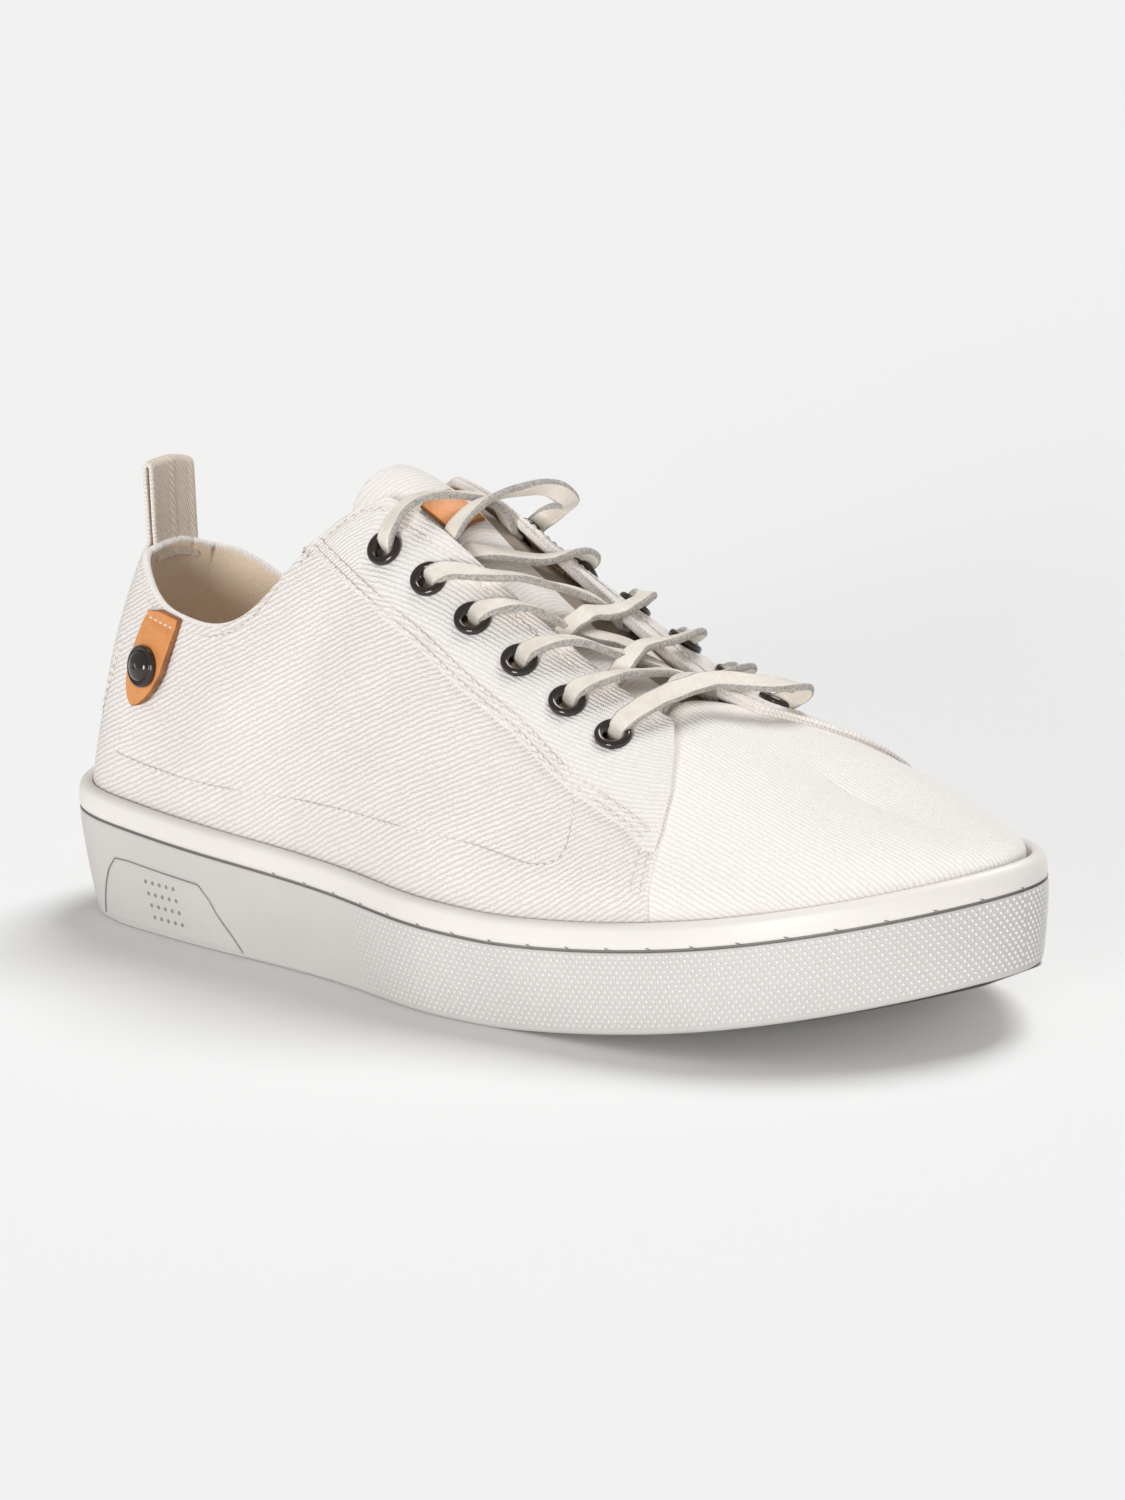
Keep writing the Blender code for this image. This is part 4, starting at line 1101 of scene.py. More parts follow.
def tongue_half(station):
    """Half the tongue's width, less at its rounded top corners."""
    part = (station - TONGUE_TOP) / (TONGUE_END - TONGUE_TOP)
    half = TONGUE_HALF[0] + (TONGUE_HALF[1] - TONGUE_HALF[0]) * part
    from_top = np.linalg.norm(SKIN.ridge(station) - SKIN.ridge(TONGUE_TOP))
    missing = max(0.0, 1 - from_top / TONGUE_CORNER)
    return half - TONGUE_CORNER * (1 - sqrt(1 - missing**2))


def tongue_rise(station):
    """How far the tongue's middle bulges near its top."""
    return 0.9 * MM * np.exp(-((station - 4.35) / 0.35) ** 2)


def make_tongue():
    """The padded tongue, with painted shade where it lies deep in the throat."""
    rows, cols = 86, 44
    part = np.linspace(0, 1, rows)
    stations = TONGUE_TOP + (TONGUE_END - TONGUE_TOP) * part**1.25
    spread = np.linspace(-1, 1, cols)
    q, share = np.zeros((rows, cols)), np.zeros((rows, cols))
    for r, station in enumerate(stations):
        q[r], share[r] = beside_ridge(station, spread * tongue_half(station))
    rise = tongue_rise(stations)[:, None] * (1 - spread[None, :] ** 4)
    hollow = -0.9 * MM * np.clip((stations - 5.3) / 0.6, 0, 1)[:, None] * (1 - spread[None, :] ** 2)
    top = -TONGUE_DEPTH + rise + hollow + unevenness(SKIN.plain(q, share), 0.25 * MM)
    outer = SKIN.over(q, share, top)
    inner = SKIN.over(q, share, -TONGUE_DEPTH - TONGUE_THICKNESS)
    u = np.broadcast_to(arc_lengths(outer[:, cols // 2][:, None])[:, 0][:, None], (rows, cols))
    v = np.broadcast_to(spread[None, :] * 0.028, (rows, cols))
    uv = np.stack([u, v], -1)
    piece = add_sheet("tongue_padding", outer, inner, uv, [tongue_cloth, binding_cloth, lining_cloth],
                      0.45)
    # Faces deep in the throat get the dark cloth, painted shade
    piece.data.materials.append(throat_shade_cloth)
    deep = SKIN.ridge(THROAT_SHADE[0])[0]
    for face in piece.data.polygons:
        if face.material_index == 0 and face.center.x > deep and face.center.y > THROAT_SHADE[1]:
            face.material_index = 3
    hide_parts("tongue")


def make_label():
    """The bare leather label on the tongue."""
    per_station = np.linalg.norm(SKIN.ridge(LABEL_START + 1) - SKIN.ridge(LABEL_START))
    rows, cols = 22, 26
    outer, inner = np.zeros((rows, cols, 3)), np.zeros((rows, cols, 3))
    spread = np.linspace(-1, 1, cols)
    for r in range(rows):
        station = LABEL_START + r / (rows - 1) * LABEL_LENGTH / per_station
        q, share = beside_ridge(station, spread * LABEL_WIDTH / 2 - LABEL_ASIDE)
        raised = (1 - spread**4) * tongue_rise(station) - TONGUE_DEPTH
        outer[r] = SKIN.over(q, share, raised + 1.45 * MM)
        inner[r] = SKIN.over(q, share, raised + 0.1 * MM)
    uv = np.zeros((rows, cols, 2))
    piece = add_sheet("tongue_leather", outer, inner, uv, [tan_leather, tan_edge, tan_edge],
                      0.35)
    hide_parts("tongue_label")


# Metal: eyelets and stud


def make_eyelets():
    """Flanged rings with open bores, through the cloth."""
    radius, bore, barrel = EYELET_RADIUS, EYELET_BORE, EYELET_HOLE - 0.1 * MM
    profile = [(barrel, -WALL - 1.0 * MM), (barrel, -0.1 * MM), (radius, -0.1 * MM)]
    for turn in pi * np.arange(9) / 8:
        middle = (radius + bore) / 2 + (radius - bore) / 2 * cos(turn)
        profile.append((middle, 0.25 * MM + 1.05 * MM * max(0.0, sin(turn)) ** 0.8))
    profile.append((bore, -WALL - 1.3 * MM))
    for place in EYELET_PLACES:
        points, faces = turned(profile, 44, placed(place.top, place.out))
        piece = add_piece(f"{place.name}_ring", points, faces, [dark_metal])
        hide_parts(place.name)


def make_stud(point, out):
    """Domed press stud with a dished ring and a plain middle."""
    r, h = 0.0054, 0.0030
    profile = [
        (0.00002, -0.4 * MM), (r * 0.96, -0.4 * MM), (r, 0.1 * MM), (r, 0.30 * h), (0.985 * r, 0.44 * h),
        (0.93 * r, 0.52 * h), (0.87 * r, 0.53 * h), (0.82 * r, 0.47 * h), (0.79 * r, 0.40 * h),
        (0.755 * r, 0.40 * h), (0.73 * r, 0.46 * h), (0.70 * r, 0.62 * h), (0.63 * r, 0.78 * h),
        (0.52 * r, 0.90 * h), (0.36 * r, 0.97 * h), (0.18 * r, 1.0 * h), (0.00002, 1.0 * h),
    ]
    points, faces = turned(profile, 56, placed(point, out))
    piece = add_piece("tab_stud_cap", points, faces, [dark_metal])
    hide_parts("tab_stud")


# Lace.  Places are an eyelet row, millimetres to the ridge (minus on the outer
# side), millimetres over the upper and the band's turn in degrees.

LACE_WIDTH = 5.4 * MM
LACE_THICKNESS = 1.9 * MM
LACE = [
    [(1, -26, -3.2, 0), (1, -25.4, 0.6, 5), (1.03, -22.8, 3.2, 15), (1.12, -18, 5.4, 30),
     (1.25, -13.5, 6, 35), (1.35, -9, 5, 35), (1.4, -3, 2.8, 25), (1.35, 4, 1.2, 15),
     (1.3, 10, -1, 5), (1.28, 14, -3.3, 0), (1.28, 18, -3.8, 0)],
    [(1, 26, -3.2, 0), (1.02, 25, 1, 5), (1.2, 22, 4.5, 30), (1.5, 18.5, 9, 60),
     (1.7, 15, 11.5, 80), (1.66, 10.5, 11.8, 85), (1.66, 6, 9.2, 75), (1.7, 1, 6.6, 60),
     (1.77, -5, 4.2, 40), (1.85, -10.5, 0.8, 20), (1.9, -14, -3.3, 0), (1.9, -18, -3.8, 0)],
    [(2, -26, -3.2, 0), (2.03, -25.3, 0.8, 5), (2.2, -23.5, 3.2, 20), (2.5, -20.5, 4.3, 30),
     (2.93, -16.5, 4.6, 35), (3.25, -11, 4.2, 35), (3.5, -5.5, 3.2, 30), (3.62, 1, 1.8, 20),
     (3.62, 7.5, 0.6, 10), (3.58, 12, -1.6, 5), (3.55, 14.5, -3.4, 0), (3.55, 18, -3.8, 0)],
    [(2, 26, -3.2, 0), (2.03, 25.2, 1, 5), (2.2, 22, 3.6, 40), (2.32, 16.5, 3.4, 50),
     (2.45, 11, 1.4, 45), (2.56, 5.5, -1.2, 30), (2.54, -1, -2.2, 20), (2.38, -7, -2.3, 15),
     (2.2, -12, -3.2, 5), (2.1, -17, -3.9, 0)],
    [(3, -26, -3.2, 0), (3.03, -25.3, 0.8, 5), (3.15, -23.3, 3, 20), (3.42, -19.3, 4, 30),
     (3.75, -14.5, 3, 30), (4.05, -10.5, 1, 20), (4.3, -7, -0.5, 10), (4.48, -3.2, -1.2, 5),
     (4.55, 2, -1.7, 5), (4.58, 7.5, -2.1, 0), (4.58, 13, -3.2, 0), (4.58, 18, -3.9, 0)],
    [(3, 26, -3.2, 0), (3.03, 25.2, 1, 5), (3.22, 23, 4, 30), (3.42, 20, 5, 40),
     (3.6, 15.5, 3.6, 35), (3.8, 10, 1.8, 20), (4, 5, 1.3, 10), (4.15, 0, 1.6, 5),
     (4.22, -4, 2, 5), (4.27, -8, 1.5, 5), (4.3, -11.2, -0.4, 5), (4.3, -13.6, -3.3, 0),
     (4.3, -18, -3.9, 0)],
    [(4, -26, -3.2, 0), (4.03, -25.4, 0.8, 5), (4.12, -23.5, 3.2, 20), (4.38, -18.7, 4.6, 30),
     (4.75, -12.7, 4.2, 30), (5.08, -7, 2.4, 20), (5.28, -1, 0.9, 10), (5.44, 6, -0.3, 5),
     (5.54, 12, -2.6, 0), (5.58, 17.5, -3.9, 0)],
    [(4, 26, -3.2, 0), (4.03, 25.2, 1, 5), (4.3, 23, 4.6, 40), (4.52, 19, 6, 50),
     (4.66, 14.5, 5.4, 45), (4.88, 8.5, 4.3, 35), (5.12, 2, 3.5, 25), (5.32, -4, 3.1, 20),
     (5.43, -8.5, 2.2, 10), (5.45, -11.5, -0.2, 5), (5.44, -13.8, -3.3, 0), (5.42, -18, -3.9, 0)],
    [(5, -26, -3.2, 0), (5.03, -25.4, 0.8, 5), (5.12, -23.3, 3.2, 20), (5.4, -18.3, 4.6, 30),
     (5.68, -12.5, 4.6, 35), (5.88, -5, 3.5, 30), (5.95, 1, 2.4, 20), (5.86, 7, 1.2, 10),
     (5.76, 12, -1.6, 5), (5.72, 14.5, -3.4, 0), (5.72, 18, -3.9, 0)],
    [(5, 26, -3.2, 0), (5.05, 25.2, 1.2, 5), (5.4, 24, 4.6, 40), (5.62, 21, 5.6, 50),
     (5.82, 15.5, 5, 45), (6.12, 8.5, 4.2, 35), (6.35, 1.5, 4, 30), (6.5, -4, 3.7, 25),
     (6.52, -9, 2, 15), (6.44, -12, -1.4, 5), (6.38, -14.5, -3.5, 0), (6.35, -18, -3.9, 0)],
    [(6, -26.5, -3.2, 0), (6.03, -25.8, 0.8, 0), (6.15, -23.3, 3.4, -5), (6.45, -18, 5.4, -12),
     (6.8, -11.5, 6.4, -18), (7.08, -5, 6.9, -20), (7.2, 2, 6.8, -20), (7.2, 10, 7.2, -15),
     (7.1, 18, 7.6, 0), (6.88, 24, 7, 25), (6.55, 27, 4.6, 25), (6.22, 27.4, 1.8, 10),
     (6.02, 26.6, -1, 5), (6, 26.4, -3.4, 0)],
]


def lace_place(row, away, height):
    """A lace point, with the directions out of the upper and towards the toe."""
    side_part = min(max((away + 13) / 26, 0), 1)
    station = row_station(row)
    station += float(inner_shift(station)) * side_part
    q, share = beside_ridge(station, np.array([away * MM]))
    point, out = SKIN.over(q, share, height * MM)[0], SKIN.normal(q, share)[0]
    return point, out, unit(SKIN.ridge(station + 0.1) - SKIN.ridge(station - 0.1))


def band_section(width, thickness, steps=5):
    """Rounded outline of a flat band, with each side's material."""
    corner = 0.42 * thickness
    spots, slots = [], []
    for x_sign, y_sign, start in ((1, 1, 0), (-1, 1, 90), (-1, -1, 180), (1, -1, 270)):
        for k in range(steps):
            turn = radians(start + 90 * k / (steps - 1))
            spots.append((
                x_sign * (width / 2 - corner) + corner * cos(turn),
                y_sign * (thickness / 2 - corner) + corner * sin(turn),
            ))
    count = len(spots)
    for k in range(count):
        middle = (spots[k][0] + spots[(k + 1) % count][0]) / 2
        slots.append(0 if abs(middle) < width / 2 - 0.75 * corner else 1)
    return spots, slots


def lace_strand(route, wobble):
    """A band swept along one strand of the lace."""
    places = [lace_place(*stop[:3]) for stop in route]
    steps = np.arange(0, len(route) - 1 + 1e-6, 0.125)
    curve = np.stack([Smooth([p[0][k] for p in places])(steps) for k in range(3)], -1)
    ahead = np.stack([Smooth([p[2][k] for p in places])(steps) for k in range(3)], -1)
    turn = np.radians(Smooth([stop[3] for stop in route])(steps))
    run = unit(np.gradient(curve, axis=0))
    across = unit(ahead - run * (ahead * run).sum(1, keepdims=True))
    face = np.cross(run, across)
    if face[len(face) // 2] @ places[len(places) // 2][1] < 0:
        face = -face
    points = []
    for i, point in enumerate(curve):
        narrow = 0.86 + 0.14 * min(1.0, i / 14, (len(curve) - 1 - i) / 14)
        wide = LACE_WIDTH * narrow * (1 + 0.03 * sin(0.7 * i + wobble))
        thick = LACE_THICKNESS * (1 + 0.05 * sin(0.5 * i + 2 * wobble))
        spots, slots = band_section(wide, thick)
        c, s = cos(turn[i]), sin(turn[i])
        side = across[i] * c + face[i] * s
        up = face[i] * c - across[i] * s
        for x, y in spots:
            cup = -0.10 * MM * (1 - (2 * x / wide) ** 2)
            points.append(point + side * x + up * (y + cup))
    count = len(spots)
    faces = grid_faces(len(curve), count, wrap=True)
    all_slots = slots * (len(curve) - 1)
    faces.append(tuple(reversed(range(count))))
    faces.append(tuple(range(len(points) - count, len(points))))
    return points, faces, all_slots + [1, 1]


def make_laces():
    """All strands of the lace as one piece."""
    points, faces, slots = [], [], []
    for number, route in enumerate(LACE):
        more, sides, marks = lace_strand(route, number)
        first = len(points)
        points += more
        faces += [tuple(first + i for i in f) for f in sides]
        slots += marks
    piece = add_piece("lace", points, faces, [lace_face, lace_edge], slots)
    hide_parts(*[f"lace_{n}" for n in range(1, 7)])


# Pull loop and collar tab

LOOP_WIDTH = 0.018
LOOP_THICKNESS = 0.0015
LOOP_RISE = 0.0205
LOOP_DROP = 0.022
LOOP_SUNK = 0.004
TAB_WIDTH = 0.0140
TAB_LENGTH = 0.0255
TAB_THICKNESS = 0.0014
TAB_STATION = 2.19
TAB_SLANT = radians(14)
TAB_STITCH = 0.115
TAB_STITCH_PITCH = 2.35 * MM
STUD_PLACE = 0.0150
LOOP_GAP = 0.0008
GAP = 0.0003


def loop_line(q, bulge):
    """The middle line of the loop's band at one place of the heel."""
    share = float(SKIN.trim(q))
    point = SKIN.plain(q, share)
    up = np.array([0.0, 0.0, 1.0])
    out = unit(SKIN.normal(q, share) * np.array([1.0, 1.0, 0.0]))
    outside = LOOP_GAP + LOOP_THICKNESS / 2
    line = []
    for part in np.linspace(1, 0, 12):
        lower = SKIN.share_below(q, part * LOOP_DROP)
        line.append(SKIN.over(q, lower, outside))
    radius = 0.62 * LOOP_THICKNESS
    base = line[-1]
    centre = point + out * (outside - radius) + up * (LOOP_RISE - radius)
    top = centre + out * radius
    for part in np.linspace(0, 1, 12)[1:-1]:
        line.append(base + (top - base) * part + out * (bulge * sin(pi * part)))
    for turn in np.linspace(0, pi, 13):
        line.append(centre + out * radius * cos(turn) + up * radius * 1.25 * sin(turn))
    top = centre - out * radius
    foot = point - out * 0.7 * MM - up * LOOP_SUNK
    for part in np.linspace(0, 1, 16)[1:]:
        spread = np.clip((part - 0.6) / 0.4, 0, 1)
        plumb = top + up * ((foot - top) @ up) * part
        line.append(plumb + out * (((foot - top) @ out) * spread * spread))
    return np.array(line)


def make_pull_loop():
    """Folded webbing over the back of the collar."""
    share = float(SKIN.trim(0.5))
    half = np.linalg.norm(SKIN.plain(-0.5, share) - SKIN.plain(0.0, float(SKIN.trim(0.0))))
    cols = 25
    outer, inner = [], []
    for part in np.linspace(-1, 1, cols):
        away = part * LOOP_WIDTH / 2
        q = 0.5 * away / half
        line = loop_line(q, 0.5 * MM * (1 - part**2))
        across = np.cross(SKIN.normal(q, float(SKIN.trim(q))), [0, 0, 1.0])
        off = unit(np.cross(np.gradient(line, axis=0), across))
        if off[2] @ SKIN.normal(q, 0.8) < 0:
            off = -off
        thick = LOOP_THICKNESS / 2 * (1 - 0.25 * part**6)
        outer.append(line + off * thick)
        inner.append(line - off * thick)
    outer, inner = np.array(outer).transpose(1, 0, 2), np.array(inner).transpose(1, 0, 2)
    u = arc_lengths(outer)
    v = np.broadcast_to(np.linspace(0, LOOP_WIDTH, cols)[None, :], u.shape)
    piece = add_sheet("heel_loop", outer, inner, np.stack([v, u], -1),
                      [loop_cloth, loop_edge_cloth, loop_cloth], 0.5)
    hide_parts("pull_loop")
    rows = []
    for level in (2.0, 4.2):
        places = 0.5 * np.linspace(-0.88, 0.88, 19) * LOOP_WIDTH / 2 / half
        rows.append(np.array([(q, SKIN.share_below(q, LOOP_DROP - level * MM)) for q in places]))
    return rows


def tab_place(across, down):
    """Place of a point of the tab, from its middle at the collar."""
    point = SKIN.plain(-TAB_STATION, float(SKIN.trim(-TAB_STATION)))
    following = SKIN.plain(-TAB_STATION - 0.5, float(SKIN.trim(-TAB_STATION - 0.5)))
    per_station = 2 * np.linalg.norm(following - point)
    station = TAB_STATION + (across * cos(TAB_SLANT) - down * sin(TAB_SLANT)) / per_station
    lower = down * cos(TAB_SLANT) + across * sin(TAB_SLANT)
    return -station, float(SKIN.share_from(-station, float(SKIN.trim(-TAB_STATION)), lower))


# The tab's width at shares of its length
TAB_WIDE = [
    (0.0, 0.96), (0.2, 1.0), (0.4, 1.0), (0.6, 0.98), (0.76, 0.82), (0.88, 0.58), (0.96, 0.33), (1.0, 0.10),
]


def make_tab():
    """The pointed leather tab at the collar, and its stud."""
    rows, cols = 44, 24
    downs, wides = zip(*TAB_WIDE)
    outer, inner = np.zeros((rows, cols, 3)), np.zeros((rows, cols, 3))
    for r, down in enumerate(np.linspace(0.02, 1, rows)):
        wide = np.interp(down, downs, wides)
        for c, part in enumerate(np.linspace(-1, 1, cols)):
            q, share = tab_place(part * wide * TAB_WIDTH / 2, down * TAB_LENGTH)
            dent = 0.30 * MM * exp(-((down - TAB_STITCH) / 0.035) ** 2)
            far = hypot(down * TAB_LENGTH - STUD_PLACE, part * TAB_WIDTH / 2)
            dish = 0.25 * MM * exp(-(far / 0.0066) ** 2)
            outer[r, c] = SKIN.over(q, share, GAP + TAB_THICKNESS - dent - dish)
            inner[r, c] = SKIN.over(q, share, 0.2 * GAP)
    piece = add_sheet("tab_leather", outer, inner, np.zeros((rows, cols, 2)),
                      [tan_leather, tan_edge, tan_edge], 0.35)
    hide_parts("collar_tab")
    q, share = tab_place(0.0, STUD_PLACE)
    make_stud(SKIN.over(q, share, GAP + TAB_THICKNESS - 0.1 * MM), SKIN.normal(q, share))
    parts = []
    for across in np.linspace(-2, 2, 5) * TAB_STITCH_PITCH:
        steps = (-0.8, -0.4, 0.0, 0.4, 0.8)
        qs, shares = np.array([tab_place(across + d * MM, TAB_STITCH * TAB_LENGTH) for d in steps]).T
        rise = np.array([0.9, 1.35, 1.5, 1.35, 0.9]) * MM
        parts.append((*thin_rod(SKIN.over(qs, shares, rise), SKIN.normal(qs, shares), 0.3 * MM), 0))
    add_parts("tab_thread", parts, [white_thread])


# Cupsole

BOTTOM_EDGE = 1.4 * MM
GROOVE_WIDTH = 0.75 * MM
GROOVE_DEPTH = 0.8 * MM
TREAD_PITCH = 12.5 * MM
TREAD_WIDTH = 2.8 * MM
TREAD_DEPTH = 1.3 * MM
TREAD_MARGIN = 11.0 * MM
TREAD_EDGE = 1.6 * MM
TREAD_REACH = 0.88
SIDE_ROWS = 30
RING_STEP = 0.8 * MM
TICK_STEP = 15
TICKS_START = -0.060
PIMPLE_ROWS = 15
PIMPLE_PITCH = 1.95 * MM
PIMPLE_RADIUS = 0.52 * MM
PIMPLE_HEIGHT = 0.34 * MM
PIMPLE_START = -0.022


def ring_places():
    """Even places round the sole's outline, with the distance from the heel."""
    dense = np.linspace(-TOE, TOE, 6001)
    plan = outline(dense)
    walked = arc_lengths(plan)
    count = 2 * int(round(walked[-1] / RING_STEP / 2))
    even = np.arange(count) * walked[-1] / count
    q = np.interp(even, walked, dense)
    return q, even - np.interp(0.0, dense, walked)


def taper_at(x):
    """How far the foot of the sole's side lies in from its top."""
    share = x / LENGTH + 0.5
    return SIDE_TAPER + HEEL_TAPER * np.maximum(0.0, 1 - share / 0.1)


# Heel panel: share of the side's height, and where the panel starts and ends
# in mm along the side from the heel's middle
HEEL_PANEL = [
    (0.00, 40.0, 99.0), (0.15, 41.5, 96.0), (0.36, 44.0, 91.0), (0.52, 46.5, 88.3), (0.66, 50.0, 84.5),
]
HEEL_PANEL_TOP = 0.68
HEEL_PANEL_DEPTH = 0.70 * MM


def heel_panel(walk, level):
    """Depth of the panel moulded into the outer side of the heel."""
    levels, starts, ends = zip(*HEEL_PANEL)
    start, end = np.interp(level, levels, starts) * MM, np.interp(level, levels, ends) * MM
    inside = np.clip((end - walk) / (0.8 * MM) + 0.5, 0, 1)
    inside = inside * np.clip((walk - start) / (0.8 * MM) + 0.5, 0, 1)
    return HEEL_PANEL_DEPTH * inside * np.clip((HEEL_PANEL_TOP - level) / 0.025, 0, 1)


def make_cupsole():
    """Moulded sole: smooth lip, stitched groove and a pimpled side."""
    q, walk = ring_places()
    x = outline(q)[:, 0]
    rim, ground, taper = along_sole(RIM, x), lift(x), taper_at(x)
    groove = rim - GROOVE_BELOW_RIM
    floor = along_sole(FLOOR, x)
    lip, edge = RIM_THICKNESS, 0.62 * GROOVE_WIDTH
    profile = [(taper + 4.5 * MM, ground + 0.1 * MM, 1), (taper + BOTTOM_EDGE, ground, 1)]
    for turn in (25, 50, 72):
        a = radians(turn)
        profile.append((taper + BOTTOM_EDGE * (1 - sin(a)), ground + BOTTOM_EDGE * (1 - cos(a)), 1))
    for j in range(SIDE_ROWS + 1):
        level = j / SIDE_ROWS
        low, high = ground + BOTTOM_EDGE, groove - GROOVE_WIDTH / 2
        height = low + (high - low) * level
        inset = taper * (1 - level) ** 1.5
        panel = np.where(q < 0, heel_panel(np.abs(walk), np.full(len(q), level)), 0)
        profile.append((inset + panel, height, 1))
    # The groove's faces take slot 2, dark with painted shade
    for turn in np.linspace(-70, 70, 7):
        a = radians(turn)
        profile.append((GROOVE_DEPTH * cos(a) ** 1.3, groove + GROOVE_WIDTH / 2 * sin(a), 2))
    profile.append((0.0, groove + edge, 0))
    for part in (0.25, 0.5, 0.75):
        height = groove + edge + part * (GROOVE_BELOW_RIM - edge - 0.55 * lip)
        profile.append((-0.10 * MM * sin(pi * part) + 0.03 * lip * part, height, 0))
    for turn in np.linspace(0, 90, 8):
        a = radians(turn)
        height = rim - 0.55 * lip * (1 - sin(a))
        profile.append((0.05 * lip + 0.57 * lip * (1 - cos(a)), height, 0))
    for turn in (25, 50, 75):
        a = radians(turn)
        profile.append((0.62 * lip + 0.38 * lip * sin(a), rim - 0.3 * lip * (1 - cos(a)), 0))
    profile += [(lip, rim - 0.5 * lip, 0), (lip, floor, 0)]
    marks = [mark for _, _, mark in profile]
    grid = np.array([np.column_stack([outline(q, inset), height]) for inset, height, _ in profile])
    points = grid.reshape(-1, 3)
    count = len(q)
    faces = grid_faces(len(grid), count, wrap=True)
    slots = list(np.repeat(np.maximum(marks[:-1], marks[1:]), count))
    bottom, more = tread(len(points))
    points = np.concatenate([points, bottom])
    faces += more
    slots += [3] * len(more)
    piece = add_piece("cupsole", points, faces, [lip_rubber, side_rubber, groove_shade_rubber, tread_rubber],
                      slots)
    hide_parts("outsole")
    groove_threads(q, groove)
    pimples(q, walk)
    heel_dots()


def tread(first):
    """Underside of the sole with shallow cross grooves."""
    rows, cols = 330, 36
    dense = np.linspace(0, TOE, 1500)
    low_line, high_line = outline(-dense), outline(dense)
    xs = np.linspace(-0.5, 0.5, rows) * (LENGTH - 9 * MM)
    margin = taper_at(xs) + TREAD_EDGE
    low, high = (
        np.interp(xs, *line[np.argsort(line[:, 0])].T) - side * margin
        for line, side in ((low_line, -1), (high_line, 1)))
    high = np.maximum(high, low + 0.5 * MM)
    spread = np.linspace(0, 1, cols)[None, :]
    y = low[:, None] + (high - low)[:, None] * spread
    even_bars = int(TREAD_REACH * LENGTH / TREAD_PITCH) % 2 == 0
    off = (xs / TREAD_PITCH + 0.5 * even_bars) % 1
    near = np.minimum(off, 1 - off) * TREAD_PITCH
    across = np.clip((TREAD_WIDTH / 2 + 0.4 * MM - near) / (0.8 * MM), 0, 1)[:, None]
    room = np.minimum(y - low[:, None], high[:, None] - y) - (TREAD_MARGIN - TREAD_EDGE)
    ends = np.clip(room / (1.2 * MM), 0, 1)
    length_end = (np.abs(xs) < TREAD_REACH * LENGTH / 2)[:, None]
    height = lift(xs)[:, None] + 0.05 * MM + TREAD_DEPTH * across * ends * length_end
    points = np.stack([np.broadcast_to(xs[:, None], y.shape), y, height], -1).reshape(-1, 3)
    return points, grid_faces(rows, cols, first)


def groove_threads(q, groove):
    """Short dark stitches that show at the lip's lower edge."""
    parts = []
    x = outline(q)[:, 0]
    for place in range(0, len(q) - 8, TICK_STEP):
        if x[place] > TICKS_START:
            at = slice(place, place + 3)
            plan = outline(q[at], 0.02 * MM)
            rise = groove[at] + np.array([0.2, 0.55, 0.9]) * MM
            line = np.concatenate([plan, rise[:, None]], 1)
            out = unit(np.concatenate([plan - outline(q[at], 1.3 * MM), np.zeros((3, 1))], 1))
            parts.append((*thin_rod(line, out, 0.27 * MM), 0))
    add_parts("groove_thread", parts, [dark_thread])


def side_place(q, height, panel=0.0):
    """Points on the sole's side at a height over the floor, and the way out."""
    x = outline(q)[:, 0]
    low = lift(x) + BOTTOM_EDGE
    high = along_sole(RIM, x) - GROOVE_BELOW_RIM - GROOVE_WIDTH / 2
    level = low + (high - low) * height
    inset = taper_at(x) * (1 - height) ** 1.5 + panel
    plan = outline(q, inset)
    out = plan - outline(q, inset + 0.001)
    out = unit(np.concatenate([out, np.zeros((len(q), 1))], 1))
    return np.concatenate([plan, level[:, None]], 1), out


def pimples(q, walk):
    """Staggered rows of small domes on the side, from the waist round the toe, lighter than the side as
    painted highlight.
    """
    order = np.argsort(walk)
    walked, stations = walk[order], q[order]
    x = outline(stations)[:, 0]
    points, faces = [], []
    sides = 7
    turns = 2 * pi * np.arange(sides) / sides
    for row in range(PIMPLE_ROWS):
        start = walked[0] + (0.5 if row % 2 else 0.0) * PIMPLE_PITCH
        even = np.arange(start, walked[-1], PIMPLE_PITCH)
        here = np.interp(even, walked, x)
        fade = np.clip((here - PIMPLE_START) / (30 * MM), 0, 1)
        even, fade = even[fade > 0], fade[fade > 0]
        spots, outs = side_place(np.interp(even, walked, stations), (row + 0.8) / (PIMPLE_ROWS + 0.6))
        for spot, out, part in zip(spots, outs, fade):
            across = np.array([-out[1], out[0], 0.0])
            size, first = PIMPLE_RADIUS * (0.6 + 0.4 * part), len(points)
            for wide, high in ((1.0, -0.1), (0.72, 0.62)):
                for turn in turns:
                    points.append(spot + out * (high * PIMPLE_HEIGHT * part)
                                  + across * (wide * size * cos(turn))
                                  + np.array([0, 0, wide * size * sin(turn)]))
            points.append(spot + out * (PIMPLE_HEIGHT * part))
            for k in range(sides):
                m = (k + 1) % sides
                faces.append((first + k, first + m, first + sides + m, first + sides + k))
                faces.append((first + sides + k, first + sides + m, first + 2 * sides))
            faces.append(tuple(first + k for k in reversed(range(sides))))
    add_piece("sole_pimples", points, faces, [pimple_highlight_rubber])


HEEL_DOTS = (5, 4)
HEEL_DOT_PITCH = (2.85 * MM, 3.07 * MM)
HEEL_DOT_START = (62.0 * MM, 13.9 * MM)


